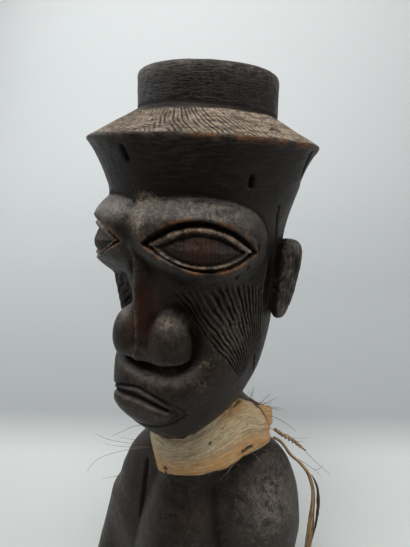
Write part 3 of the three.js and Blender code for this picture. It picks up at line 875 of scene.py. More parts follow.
# %% Pressing the cuts into the mesh
def cut_depth(p):
    """How deep the cuts are at each point, in mm."""
    depth = np.zeros(len(p))
    order = np.argsort(p[:, 2])
    heights = p[order, 2]
    for line, deepest, half_width, taper in cuts:
        low, high = line.min(0) - half_width, line.max(0) + half_width
        span = order[np.searchsorted(heights, low[2]):np.searchsorted(heights, high[2])]
        q = p[span]
        near = span[((q[:, :2] > low[:2]) & (q[:, :2] < high[:2])).all(1)]
        if not len(near):
            continue
        q = p[near]
        best, along = np.full(len(near), 1e9), np.zeros(len(near))
        for k in range(max(1, len(line) - 1)):
            a, b = line[k], line[min(k + 1, len(line) - 1)]
            ab = b - a
            t = np.clip((q - a) @ ab / max(ab @ ab, 1e-9), 0, 1)
            away_from_line = np.linalg.norm(q - a - t[:, None] * ab, axis=1)
            closer = away_from_line < best
            best[closer] = away_from_line[closer]
            along[closer] = ((k + t) / max(1, len(line) - 1))[closer]
        thin = np.minimum(1, 0.35 + 2.6 * np.minimum(along, 1 - along)) if taper and len(line) > 1 else 1
        depth[near] = np.maximum(depth[near], deepest * thin * bump(best, half_width))
    return depth


def row_depth(p):
    """How deep the rows of brim and cheeks are at each point, in mm."""
    leaning, upright_rows, _, first, second = rows_of_brim(p)
    row, _, lies = rows_of_cheek(p)
    depth = 0.0
    for number, where, deepest in ((leaning, first, 0.5), (upright_rows, second, 0.5), (row, lies, 0.85)):
        depth = np.maximum(depth, deepest * where * bump(number % 1 - 0.5, 0.42))
    return depth


hand_marks = 0.16 * unevenness(points, 7.5) + 0.07 * unevenness(points + 40, 2.4)
base_calm = ramp(0.4, 3, points[:, 2])
pressed = np.maximum(cut_depth(points), row_depth(points))
points = points + outward * ((hand_marks - pressed) * base_calm)[:, None]
print("deepest mark", round(float(pressed.max()), 2), "mm")

# %% [markdown]
# The grid is as fine on the plain back as on the eyes, which is more faces than the plain parts
# need. Decimate takes points away where the surface is flat and keeps them in the cuts. After it,
# a few values are stored on each point for the wood's finish: how deep it lies in a cut, which sets
# painted shade, the number of its row, and whether it lies on an edge, in a hollow, in a valley,
# where it gets painted shade, or on a crest, where it gets part of the dust and painted sheen.

# %% The carved wood as a piece
most_triangles = 190000
carved_wood = new_piece("carved_wood", points, faces)
thinning = carved_wood.modifiers.new("thin out flat parts", "DECIMATE")
thinning.ratio = min(1, most_triangles / (2 * len(faces)))
bpy.context.view_layer.objects.active = carved_wood
with bpy.context.temp_override(object=carved_wood, active_object=carved_wood):
    bpy.ops.object.modifier_apply(modifier=thinning.name)
carved_wood.data.shade_smooth()
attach(carved_wood, "root")
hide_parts("carved_figure")
print("carved wood", len(carved_wood.data.polygons), "faces")


# %% Cuts and rows, stored on the points
def vectors_of(piece, what):
    """The places (co) or the normals of a piece's points."""
    values = np.empty(len(piece.data.vertices) * 3, np.float32)
    piece.data.vertices.foreach_get(what, values)
    return values.reshape(-1, 3)


def set_attribute(piece, name, values):
    layer = piece.data.attributes.new(name, "FLOAT", "POINT")
    layer.data.foreach_set("value", np.asarray(values, np.float32))


p = vectors_of(carved_wood, "co").astype(float) / MM
# Painted shade in the cuts, in the ears' grooves and in the gap between the lips, stored as cut
ear_groove_shade = ramp(1.0, -0.4, ear_hollow(*p.T)) * ramp(-0.6, 0.6, ear(*p.T))
lip_gap_shade = bump(p[:, 2] - mouth_gap(p[:, 0]) - 1.4, 2.6) * ramp(20, 15, np.abs(p[:, 0])) * (p[:, 1] < -25)
full_dark = 0.5                        # a cut this deep, in mm, is as dark as a cut gets
painted_cut_shade = np.maximum.reduce([cut_depth(p) / full_dark, ear_groove_shade, 0.8 * lip_gap_shade])
set_attribute(carved_wood, "cut", np.clip(painted_cut_shade, 0, 1))
leaning, upright_rows, out, first, second = rows_of_brim(p)
cheek_row, cheek_along, cheek_lies = rows_of_cheek(p)
on_cheek = p[:, 2] < 230
set_attribute(carved_wood, "row_a", np.where(on_cheek, cheek_row, leaning))
set_attribute(carved_wood, "row_b", upright_rows)
set_attribute(carved_wood, "turned", ramp(226, 236, p[:, 2]))
set_attribute(carved_wood, "rows_a_lie", np.where(on_cheek, cheek_lies, first))
set_attribute(carved_wood, "rows_b_lie", np.where(on_cheek, 0, second))
set_attribute(carved_wood, "along_row", np.where(on_cheek, cheek_along * 5, out * 2.4))
print("points in cuts", int((painted_cut_shade > 0.5).sum()))


# %% Edges, hollows and valleys, stored on the points
def bend_of_form(p, reach, scale):
    """Mean of the field round a point against the field at it: above 0 on an edge, below 0 in a hollow."""
    sides = [sign * axis * reach for axis in np.eye(3) for sign in (1, -1)]
    return (sum(wood(*(p + s).T) for s in sides) / 6 - wood(*p.T)) / scale


bend, wide_bend = bend_of_form(p, 1.3, 1.3), bend_of_form(p, 4.16, 4.2)
set_attribute(carved_wood, "hollow", ramp(0.02, 0.3, -bend))
lips = ramp(131, 135, p[:, 2]) * ramp(160, 156, p[:, 2]) * (p[:, 1] < -30)
set_attribute(carved_wood, "edge", ramp(0.12, 0.42, bend) * (1 - lips))
# Valleys get painted shade in the finish
set_attribute(carved_wood, "valley", ramp(0.0, 0.22, -wide_bend))
set_attribute(carved_wood, "crest", ramp(0.06, 0.28, wide_bend))
print("points on edges", int((bend > 0.3).sum()), "in valleys", int((wide_bend < -0.15).sum()))

# %% [markdown]
# ## The rawhide collar
# A strip of rawhide about 23 mm wide was wrapped wet round the neck, and shrank as it dried. It is
# a sheet, so it is built from its own two directions: the bearing round the neck and the share of
# its width from the lower to the upper edge. Rawhide dries into wrinkles that run along the strip.
# They come from noise stretched along it. A plain tube with bump mapping would keep a machine-cut
# edge, so the edges wander too, and the strip gets its real thickness of 1.4 mm.

# %% Shape of the hide
hide_width, hide_thick, hide_gap = 23.5, 1.4, 0.8
# Bearing from the face's middle, and the heights of the strip's lower and upper edge there.
hide_edges = np.array([
    (-180, 103, 116), (-150, 105, 121), (-120, 107, 125), (-90, 107, 126), (-65, 106, 124),
    (-50, 103.5, 120), (-40, 98, 117.5), (-30, 92.5, 116.5), (-20, 91.5, 116.3), (-10, 94, 116.5),
    (0, 96.2, 117), (10, 98.3, 118.7), (20, 100.3, 121), (30, 101.5, 124.3), (40, 102.3, 127.8),
    (50, 102.8, 131.2), (60, 104, 135), (70, 105, 138), (76, 105.3, 139), (82, 105.4, 138),
    (86, 105.3, 135), (91, 105.2, 131.8), (100, 104.8, 128.7), (110, 103.8, 125), (120, 102.5, 120.7),
    (130, 102, 116.8), (140, 101, 114), (150, 100.5, 113), (165, 101, 114), (180, 103, 116)
])


def hide_reach(bearing, z):
    """Direction outwards at a bearing, and where the strip's inner face lies at a height."""
    a = np.radians(bearing)
    dx, dy = np.sin(a), -np.cos(a)
    depth = np.where(dy < 0, hide_front, hide_back)
    return dx, dy, neck_size(z) / np.sqrt(square(dx / hide_side) + square(dy / depth)), *neck_middle(z)


turn_table = np.arange(-180, 181, 1.0)
low_table, high_table = (np.interp(turn_table, hide_edges[:, 0], hide_edges[:, k]) for k in (1, 2))
for _ in range(40):                    # the jaw presses the upper edge down
    dx, dy, r, middle_x, middle_y = hide_reach(turn_table, high_table)
    near_jaw = face(middle_x + dx * (r + 0.8), middle_y + dy * (r + 0.8), high_table) < 1.2
    high_table = high_table - 0.25 * near_jaw
soften = np.exp(-square(np.arange(-9, 10) / 3.2))
low_table, high_table = (np.convolve(np.concatenate([v[-10:-1], v, v[1:10]]), soften / soften.sum(), "valid")
                         for v in (low_table, high_table))
print("the strip is", round(float((high_table - low_table).mean()), 1), "mm wide on average, seen level")


# %% Places on the hide
def hide_point(bearing, lift, out):
    """A place at a bearing, at a share of the width, and lifted off the neck by out mm."""
    turned = (bearing + 180) % 360 - 180
    loose = 7.2 * bump(turned - 122, 50)            # the strip stands off the neck on the left, behind
    out = out + loose * (0.4 + 0.6 * np.clip(lift / 0.6, 0, 1))
    low, high = np.interp(turned, turn_table, low_table), np.interp(turned, turn_table, high_table)
    z = low + (high - low) * lift
    dx, dy, r, middle_x, middle_y = hide_reach(bearing, z)
    x, y = middle_x + dx * (r + out), middle_y + dy * (r + out)
    push = np.zeros(x.shape)
    for _ in range(60):
        close = wood(x + dx * push, y + dy * push, z) < hide_gap * 0.6 + np.minimum(out, 2) * 0.2
        push = push + np.where(close, 0.14, 0)
    return np.stack([x + dx * push, y + dy * push, z], -1)


hide_mm_per_degree = 0.53


def wrinkles(bearing, lift):
    along, over = bearing * hide_mm_per_degree, lift * hide_width
    at = np.stack([along, over, 0 * over], -1)
    rough = 0.34 * unevenness(at / (17, 2.3, 1) + 3, 1) + 0.17 * unevenness(at / (9, 1.0, 1) + 11, 1)
    return rough + 0.06 * unevenness(at / (3, 0.55, 1) + 17, 1) + 0.3 * unevenness(at / (22, 9, 1) + 23, 1)


def pierced(bearing, lift):
    """How far a place lies in one of the awl holes or the slit, 0 to 1."""
    def near(b, share, radius):
        return bump(np.hypot((bearing - b) * hide_mm_per_degree, (lift - share) * hide_width), radius)

    holes = [near(-5, 0.12, 1.9), near(-5, 0.0, 1.5), near(42, 0.63, 1.1)]
    slit = [near(b, 0.1 + 0.003 * (b - 73), 1.2) for b in (73, 75, 77, 79, 81, 83)]
    return np.minimum(1, 1.6 * np.maximum.reduce(holes + slit))


print("an awl hole's middle is open to", float(pierced(42.0, 0.63)))


# %% The strip itself
def ragged(bearings, degrees, row):
    return unevenness(np.stack([bearings / degrees, 0 * bearings, 0 * bearings + row], -1), 1)


def hide_strip(bearings, off=0.0, low=0.0, high=1.0, slant=0.0, closed=True):
    """Points and faces of a stretch of the strip with its thickness; the four numbers may vary along it."""
    rows = 30
    bearings, off, low, high, slant = np.broadcast_arrays(np.asarray(bearings, float), off, low, high, slant)
    ragged_low, ragged_high = 0.022 * ragged(bearings, 6, 2), 0.03 * ragged(bearings, 5, 9)
    share = np.linspace(0, 1, rows)
    lift = (low + ragged_low)[:, None] + (high + ragged_high - low - ragged_low)[:, None] * share
    wide = bearings[:, None] + slant[:, None] * lift
    edge_round = 1 - square(np.abs(2 * share - 1)) ** 6
    half_thick = 0.5 * hide_thick
    outer_out = off[:, None] + half_thick + half_thick * edge_round + wrinkles(wide, lift)
    outer_out = outer_out - pierced((wide + 180) % 360 - 180, lift)
    inner_out = off[:, None] + half_thick - half_thick * edge_round + 0.25 * wrinkles(wide, lift)
    outer = hide_point(wide, lift, np.maximum(outer_out, inner_out + 0.35))
    inner = hide_point(wide, lift, inner_out)[:, ::-1]
    loops = np.concatenate([outer, inner], 1)
    n, m = loops.shape[:2]
    faces = []
    for k in range(n if closed else n - 1):
        a, b = k * m, (k + 1) % n * m
        faces += [(a + i, b + i, b + (i + 1) % m, a + (i + 1) % m) for i in range(m)]
    if not closed:
        for a, flip in ((0, True), ((n - 1) * m, False)):
            for i in range(rows - 1):
                quad = (a + i, a + i + 1, a + m - 2 - i, a + m - 1 - i)
                faces.append(quad[::-1] if not flip else quad)
    return loops.reshape(-1, 3), faces


ring_points, ring_faces = hide_strip(np.arange(0, 360, 0.9))
end_start, end_run, end_slant = 46, 63.5, -14       # the free end, in degrees round the neck
t = np.linspace(0, 1, 60)
end_lift = -0.5 + 2.3 * ramp(0.1, 1, t)             # it rises slowly out of the ring
end_points, end_faces = hide_strip(end_start + end_run * t, off=end_lift, low=0.01, high=0.99 - 0.06 * t * t,
                                   slant=end_slant * t, closed=False)
start = len(ring_points)
rawhide_strip = new_piece("rawhide_strip", np.vstack([ring_points, end_points]),
                          ring_faces + [[i + start for i in f] for f in end_faces])
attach(rawhide_strip, "root")
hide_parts("hide_collar")
print("rawhide", len(rawhide_strip.data.vertices), "points, box",
      np.round([ring_points.min(0), ring_points.max(0)], 1).tolist())

# %% [markdown]
# The finish needs to know where on the strip it is: how far along, and how far across. A UV map
# carries that, one unit for a millimetre, so fibres keep their real width all round the neck.
# Unwrapping by hand would do for one piece, but here the same two numbers already made the mesh.

# %% Fibre coordinates
def give_fibre_map(piece, along, over):
    layer = piece.data.uv_layers.new(name="fibre")
    corner = np.empty(len(piece.data.loops), np.int32)
    piece.data.loops.foreach_get("vertex_index", corner)
    layer.data.foreach_set("uv", np.stack([along[corner], over[corner]], 1).ravel().astype(np.float32))


p = np.vstack([ring_points, end_points])
middle_x, middle_y = neck_middle(p[:, 2])
hide_bearing = np.degrees(np.arctan2(p[:, 0] - middle_x, middle_y - p[:, 1]))
low, high = (np.interp(hide_bearing, turn_table, table) for table in (low_table, high_table))
hide_across = (p[:, 2] - low) / (high - low) * hide_width
give_fibre_map(rawhide_strip, hide_bearing * hide_mm_per_degree, hide_across)
for piece, marks, around in ((hanging_lace, long_marks, 20), (twisted_lace, short_marks, 20),
                             (peeling_bark, bark_marks, 12)):
    along = np.concatenate([np.repeat(marks, around), [marks[0], marks[-1]]])
    over = np.concatenate([np.tile(np.abs(np.linspace(-1, 1, around)) * 3, len(marks)), [0, 0]])
    give_fibre_map(piece, along, over)
print("fibre map reaches", np.round([hide_across.min(), hide_across.max()], 1).tolist(), "mm across")

# %% Stains of the hide, painted shade in its holes, a painted shadow beyond its end, and its flat size
set_attribute(rawhide_strip, "low_edge", ramp(15, 3, hide_across))
over = hide_across / hide_width
# Painted shadow on the ring just beyond the free end's edge, stored as pierced with the painted shade of the
# awl holes and the slit
beyond_end = hide_bearing - (end_start + end_run + end_slant * over + 2.5)
end_shadow = bump(beyond_end, 4.5) * ramp(0.02, 0.12, over) * (np.arange(len(p)) < start)
set_attribute(rawhide_strip, "pierced", np.maximum(pierced(hide_bearing, over), 0.9 * end_shadow))
warm = ramp(15, 24, hide_across) * ramp(45, 65, hide_bearing) * ramp(96, 80, hide_bearing)
warm = np.maximum(warm, ramp(92, 104, hide_bearing) * ramp(150, 130, hide_bearing))
set_attribute(rawhide_strip, "warm", warm)
middle_line = hide_point(np.arange(0, 361, 2.0), np.full(181, 0.5), np.full(181, 0.7))

# %% [markdown]
# ## Loose hairs
# Some hairs of the animal still stand out of the hide's edges, bent in slow curves. Each is a thin
# tapered tube. A particle system would grow hundreds of them evenly, while here a few dozen are
# placed where the photograph shows them, and a few more round the back.

# %% Hairs of the hide
hair = np.random.default_rng(5)
hair_points, hair_faces = [], []


def gather_hair(points, faces):
    start = sum(len(q) for q in hair_points)
    hair_points.append(points)
    hair_faces.extend([i + start for i in corners] for corners in faces)


def add_hair(root_place, direction, length, sag):
    """A three-sided tapered tube, bent sideways and downwards."""
    t = np.linspace(0, 1, 9)[:, None]
    direction = np.array(direction, float) / np.linalg.norm(direction)
    aside = np.cross(direction, hair.normal(size=3))
    aside /= np.linalg.norm(aside)
    line = root_place + direction * length * t
    line = line + (0, 0, -1) * (sag * length * t * t) + aside * (0.12 * length) * np.sin(t * 3)
    radius = (0.09 * (1 - 0.7 * t[:, 0]) + 0.02)[:, None]
    upwards = np.cross(direction, aside)
    ring = np.stack([line + (aside * math.cos(a) + upwards * math.sin(a)) * radius for a in (0, 2.1, 4.2)], 1)
    faces = [(k * 3 + i, k * 3 + (i + 1) % 3, (k + 1) * 3 + (i + 1) % 3, (k + 1) * 3 + i)
             for k in range(8) for i in range(3)]
    gather_hair(ring.reshape(-1, 3), faces + [(0, 2, 1), (24, 25, 26)])


def hair_from(bearing, lift, swing, rise, length, sag):
    """A hair from a place on the hide; swing turns it from straight outwards, rise tilts it up."""
    place = hide_point(np.array(float(bearing)), np.array(float(lift)), np.array(hide_thick))
    a, e = math.radians(bearing + swing), math.radians(rise)
    add_hair(place, (math.sin(a) * math.cos(e), -math.cos(a) * math.cos(e), math.sin(e)), length, sag)


def hair_along(distance, *places):
    """A hair through places of the picture, in pixels from its top left, at one distance from the camera."""
    stations = [tuple(camera_place / MM + aim_at(x, y) * distance) for x, y in places]
    route, marks = route_through(stations, spacing=2.0)
    thin = 0.15 * (1 - 0.6 * marks / marks[-1])
    gather_hair(*lace_skin(route, marks, thin, thin, 0 * marks, around=4, rough=0))


print("helpers for two kinds of hair are ready")

# %% Hairs in their places
for distance, *places in (
        (217, (152, 443), (135, 443.5), (107, 439), (95, 433)),
        (218, (152, 446), (133, 447), (118, 446), (104, 443.5)),
        (217, (152, 447), (129, 449.5), (98, 459), (87, 471)), (235, (122, 475), (116, 476), (101, 479)),
        (219, (152, 424), (133, 426.5), (123, 431), (112, 436)), (219, (152, 437), (138, 440), (120, 437)),
        (212, (265, 413), (284, 422), (296, 431.5)), (212, (265, 407), (279, 410)),
        (210, (260, 406), (278, 397)), (201, (248, 402), (254, 386)), (201, (251, 402), (253.5, 389)),
        (200, (246, 400), (249, 391)), (206, (257, 406), (271, 393)),
        (218, (271, 428), (284, 437), (309, 438)), (226, (288, 440), (304, 442)),
        (234, (305, 451), (319, 465), (330, 474.5)), (230, (300, 460), (314, 469.5), (321, 476)),
        (230, (313, 469), (319, 470), (323, 464)), (194, (235, 463), (228, 471), (220, 479.5)),
        (194, (231, 466), (226, 481))):
    hair_along(distance, *places)
for bearing in np.arange(-180, 180, 11):
    hair_from(bearing + hair.uniform(-4, 4), hair.choice([0.03, 0.98]), hair.uniform(-30, 30),
              hair.uniform(-20, 35), hair.uniform(3, 8), hair.uniform(-0.1, 0.3))
loose_hairs = new_piece("loose_hairs", np.vstack(hair_points), hair_faces)
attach(loose_hairs, "root")
print("hairs", len(hair_points))

# %% [markdown]
# ## Finishes
# Aged wood is never one colour. The ground is a brown black with a painted soft grey sheen, and
# painted shade darkens its cuts and valleys.
# Edges and other high places are rubbed back to red-brown, and pale dust lies in the cuts. All of
# it is made from noise in the object's own space and from the values stored on the points, so it
# looks the same from every side.

# %% Helpers for finishes
class Finish:
    """A node material, written as short lines."""

    def __init__(self, name):
        self.material = bpy.data.materials.new(name)
        self.material.use_nodes = True
        self.nodes = self.material.node_tree.nodes
        self.shader = self.nodes["Principled BSDF"]

    def node(self, kind, settings=(), **inputs):
        made = self.nodes.new(kind)
        for key, value in settings:
            setattr(made, key, value)
        for key, value in inputs.items():
            self.join(value, made.inputs[key.replace("_", " ")])
        return made

    def join(self, value, socket):
        if isinstance(value, bpy.types.NodeSocket):
            self.material.node_tree.links.new(value, socket)
        else:
            socket.default_value = value

    def noise(self, where, scale, detail=4.0, rough=0.55, distortion=0.0):
        made = self.node("ShaderNodeTexNoise", Vector=where, Scale=scale, Detail=detail, Roughness=rough,
                         Distortion=distortion)
        return made.outputs["Fac"]

    def stretched(self, where, scale):
        return self.node("ShaderNodeMapping", Vector=where, Scale=scale).outputs["Vector"]

    def steps(self, value, *stops):
        made = self.node("ShaderNodeValToRGB", Fac=value)
        ramp_stops = made.color_ramp.elements
        for k, (place, shade) in enumerate(stops):
            stop = ramp_stops[k] if k < 2 else ramp_stops.new(place)
            stop.position = place
            stop.color = (*shade, 1) if isinstance(shade, tuple) else (shade, shade, shade, 1)
        return made.outputs["Color"]

    def mix(self, share, first, second):
        made = self.node("ShaderNodeMix", [("data_type", "RGBA")])
        for value, k in ((share, 0), (first, 6), (second, 7)):
            self.join((*value, 1) if isinstance(value, tuple) else value, made.inputs[k])
        return made.outputs[2]

    def math(self, kind, a, b=0.0, clamp=True):
        made = self.node("ShaderNodeMath", [("operation", kind), ("use_clamp", clamp)])
        self.join(a, made.inputs[0])
        self.join(b, made.inputs[1])
        return made.outputs[0]

    def times(self, a, b):
        return self.math("MULTIPLY", a, b)

    def plus(self, a, b):
        return self.math("ADD", a, b)

    def minus(self, a, b):
        return self.math("SUBTRACT", a, b, clamp=False)

    def larger(self, a, b):
        return self.math("MAXIMUM", a, b)

    def stored(self, name):
        return self.node("ShaderNodeAttribute", [("attribute_name", name)]).outputs["Fac"]

    def bump(self, height, strength, distance):
        made = self.node("ShaderNodeBump", Height=height, Strength=strength, Distance=distance)
        self.join(made.outputs["Normal"], self.shader.inputs["Normal"])

    def give(self, *pieces):
        for piece in pieces:
            piece.data.materials.clear()
            piece.data.materials.append(self.material)
        print(self.material.name, "has", len(self.nodes), "nodes, on", [piece.name for piece in pieces])


# %% [markdown]
# ### Old wood
# Three layers make the ground: a brown black that changes from place to place, soot in its pores,
# and a grey layer of dust and painted sheen. Painting it would fix the marks to one view, while
# noise of several sizes goes all the way round. Each later layer is mixed over the ones before.

# %% Ground, dust and painted sheen of the old wood
soot, deep_shade = (0.006, 0.004, 0.003), (0.005, 0.0035, 0.003)
aged = Finish("aged_wood")
place = aged.node("ShaderNodeTexCoord").outputs["Object"]
grain = aged.noise(aged.stretched(place, (1, 1, 0.35)), 900, 5, 0.65)
mottle = aged.noise(place, 260, 6, 0.72, 0.4)
blotch = aged.noise(place, 45, 5, 0.65)
cloud = aged.noise(place, 16, 3, 0.5)
speck = aged.noise(place, 900, 4, 0.75)
dark = aged.steps(aged.times(mottle, blotch), (0.16, soot), (0.34, (0.031, 0.021, 0.014)))
dark = aged.mix(aged.steps(grain, (0.36, 0.5), (0.56, 0.0)), dark, soot)
uneven = aged.steps(mottle, (0.36, 0.15), (0.62, 1.0))
# Dust and painted sheen, broken up by cloud noise; crests get a share of the same grey
dust_and_sheen_share = aged.times(aged.stored("dust_and_sheen"), aged.steps(cloud, (0.3, 0.5), (0.62, 1.0)))
dust_and_sheen_share = aged.larger(dust_and_sheen_share, aged.times(aged.stored("crest"), 0.35))
dust_and_sheen_grey = aged.mix(grain, (0.10, 0.083, 0.07), (0.25, 0.215, 0.185))
colour = aged.mix(aged.times(dust_and_sheen_share, uneven), dark, dust_and_sheen_grey)
print("nodes of the ground", len(aged.nodes))

# %% Bare, rubbed and dusty wood, with painted shade in the valleys
heartwood = aged.mix(mottle, (0.009, 0.0025, 0.001), (0.075, 0.02, 0.007))
colour = aged.mix(aged.stored("ruddy"), colour, heartwood)
rubbed = aged.larger(aged.times(aged.stored("edge"), 0.8), aged.stored("rubbed"))
worn_share = aged.times(rubbed, aged.steps(aged.noise(place, 130, 4, 0.65), (0.42, 0.0), (0.58, 0.95)))
worn = aged.mix(aged.noise(place, 190, 3, 0.5), (0.07, 0.026, 0.013), (0.3, 0.125, 0.04))
colour = aged.mix(worn_share, colour, worn)
# Painted shade in the valleys
colour = aged.mix(aged.times(aged.stored("valley"), 0.75), colour, deep_shade)
dusty = aged.larger(aged.stored("dust"), aged.times(aged.stored("hollow"), 0.2))
dust_share = aged.steps(aged.plus(aged.times(dusty, 0.6), aged.times(speck, 0.6)), (0.5, 0.0), (0.82, 1.0))
colour = aged.mix(dust_share, colour, aged.mix(mottle, (0.14, 0.1, 0.07), (0.42, 0.33, 0.24)))
colour = aged.mix(aged.steps(speck, (0.4, 0.5), (0.52, 0.0)), colour, soot)
print("nodes with wear and dust", len(aged.nodes))

# %% [markdown]
# Fine level scratches run round the hat, where a blade went round it. Each row of cuts gets a line
# of painted shade in its middle and a painted highlight on the ridge beside it. A finer mesh for
# these lines would weigh too much, and the row's number gives them for nothing: its fraction says
# how far a place is from the middle of its cut, and its whole part picks where the line breaks off.

# %% Scratches, and the scored rows' painted shade and highlight
around_hat = aged.noise(aged.stretched(place, (0.3, 0.3, 2.4)), 520, 4, 0.7)
scratched = aged.times(aged.steps(around_hat, (0.4, 0.75), (0.53, 0.0)), aged.stored("turned"))
colour = aged.mix(scratched, colour, soot)
scored = 0.0
for number, lies in (("row_a", "rows_a_lie"), ("row_b", "rows_b_lie")):
    number = aged.stored(number)
    off_middle = aged.math("ABSOLUTE", aged.minus(aged.math("FRACT", number), 0.5))
    whole_number = aged.math("FLOOR", number, clamp=False)
    place_in_row = aged.node("ShaderNodeCombineXYZ", X=aged.math("MULTIPLY", whole_number, 7.3, clamp=False),
                             Y=aged.stored("along_row")).outputs["Vector"]
    unbroken = aged.steps(aged.noise(place_in_row, 1.0, 2, 0.5), (0.4, 0.15), (0.52, 1.0))
    # A line of painted shade in the middle of each cut, broken off here and there
    line = aged.times(aged.steps(off_middle, (0.1, 1.0), (0.26, 0.0)), unbroken)
    scored = aged.larger(aged.times(line, aged.stored(lies)), scored)
    # Painted highlight on the ridge beside each cut
    ridge = aged.times(aged.steps(off_middle, (0.3, 0.0), (0.44, 0.4)), aged.stored(lies))
    colour = aged.mix(aged.times(ridge, uneven), colour, (0.15, 0.122, 0.098))
# Painted shade in the cuts, the scored rows, the ears' grooves and the lips' gap
cut_shade = aged.larger(aged.stored("cut"), scored)
colour = aged.mix(aged.times(cut_shade, 0.9), colour, deep_shade)
aged.join(colour, aged.shader.inputs["Base Color"])
print("nodes with scratches and rows", len(aged.nodes))

# %% Gloss and small relief of the old wood
matt = aged.larger(cut_shade, aged.stored("valley"))
matt = aged.larger(aged.times(matt, 0.9), aged.steps(mottle, (0.35, 0.3), (0.65, 0.52)))
aged.join(matt, aged.shader.inputs["Roughness"])
aged.shader.inputs["Specular IOR Level"].default_value = 0.15
relief = aged.plus(aged.times(mottle, 0.7), aged.times(speck, 0.4))
relief = aged.minus(relief, aged.times(scratched, 0.35))
aged.bump(aged.minus(relief, aged.times(scored, 0.6)), 1.0, 0.0006)
aged.give(carved_wood)

# %% [markdown]
# ### Rawhide, laces, bark and hairs
# Dry hide is straw-coloured fibre with dark streaks between the strands, and amber where it is
# thick or still greasy. A picture of leather would have the wrong grain at this size. Noise that
# is stretched along the fibre map gives strands, and the same idea serves the laces and the bark.

# %% Finish of the rawhide
dry_hide = Finish("dry_rawhide")
fibre = dry_hide.node("ShaderNodeUVMap", [("uv_map", "fibre")]).outputs["UV"]
strand = dry_hide.noise(dry_hide.stretched(fibre, (0.11, 1.2, 1)), 1.0, 6, 0.7, 0.8)
fine_strand = dry_hide.noise(dry_hide.stretched(fibre, (0.3, 3.4, 1)), 1.0, 5, 0.75, 1.3)
patch = dry_hide.noise(fibre, 0.14, 3, 0.55)
low_edge = dry_hide.stored("low_edge")
straw = dry_hide.steps(strand, (0.3, (0.3, 0.21, 0.11)), (0.48, (0.5, 0.38, 0.22)),
                       (0.64, (0.68, 0.56, 0.37)))
amber = dry_hide.steps(strand, (0.3, (0.3, 0.12, 0.03)), (0.66, (0.62, 0.34, 0.11)))
low_share = dry_hide.times(low_edge, dry_hide.steps(patch, (0.35, 0.5), (0.6, 1.0)))
warm_share = dry_hide.larger(low_share, dry_hide.times(dry_hide.stored("warm"), 0.85))
colour = dry_hide.mix(warm_share, straw, amber)
streaky = dry_hide.times(dry_hide.steps(fine_strand, (0.41, 0.95), (0.5, 0.0)),
                         dry_hide.steps(dry_hide.larger(patch, low_edge), (0.4, 1.0), (0.75, 0.3)))
colour = dry_hide.mix(streaky, colour, (0.11, 0.07, 0.035))
# Painted shade in the awl holes and the slit, and painted shadow beyond the free end
colour = dry_hide.mix(dry_hide.stored("pierced"), colour, (0.02, 0.012, 0.007))
dry_hide.join(colour, dry_hide.shader.inputs["Base Color"])
dry_hide.shader.inputs["Roughness"].default_value = 0.72
dry_hide.bump(dry_hide.plus(strand, dry_hide.times(fine_strand, 0.6)), 0.8, 0.0004)
dry_hide.give(rawhide_strip)


# %% Finish of the laces and the bark
def fibre_finish(name, stretch, roughness, *stops):
    """A finish of strands that run along the fibre map."""
    finish = Finish(name)
    fibre = finish.node("ShaderNodeUVMap", [("uv_map", "fibre")]).outputs["UV"]
    strand = finish.noise(finish.stretched(fibre, stretch), 1.0, 5, 0.65, 0.4)
    finish.join(finish.steps(strand, *stops), finish.shader.inputs["Base Color"])
    finish.shader.inputs["Roughness"].default_value = roughness
    finish.bump(strand, 0.8, 0.0004)
    return finish


dry_lace = fibre_finish("dry_lace", (0.12, 2.2, 1), 0.75,
                        (0.35, (0.1, 0.05, 0.022)), (0.5, (0.32, 0.19, 0.09)), (0.66, (0.55, 0.38, 0.2)))
dry_lace.give(hanging_lace, twisted_lace)
dark_bark = fibre_finish("dark_bark", (0.3, 2.0, 1), 0.8,
                         (0.35, (0.018, 0.011, 0.008)), (0.62, (0.11, 0.06, 0.035)))
dark_bark.give(peeling_bark)

# %% Finish of the hairs
dark_hair = Finish("dark_hair")
tone = dark_hair.noise(dark_hair.node("ShaderNodeTexCoord").outputs["Object"], 60, 2, 0.5)
dark_hair.join(dark_hair.steps(tone, (0.4, (0.03, 0.024, 0.02)), (0.66, (0.2, 0.16, 0.12))),
               dark_hair.shader.inputs["Base Color"])
dark_hair.shader.inputs["Roughness"].default_value = 0.45
dark_hair.give(loose_hairs)

# %% [markdown]
# ## Where the dust lies
# Dust is not everywhere: it fills the hatched brim, the lids of the eyes, the middle of the brow,
# the skin above the nose's wings, and freckles the chest. Noise alone would spread it evenly. Soft
# spots round those places, stored on the points, guide the finish instead.

# %% Dusty places
def soft_spot(p, middle, size):
    """1 at the middle, fading to nothing over the three sizes."""
    return np.exp(-square((p - middle) / size).sum(1))


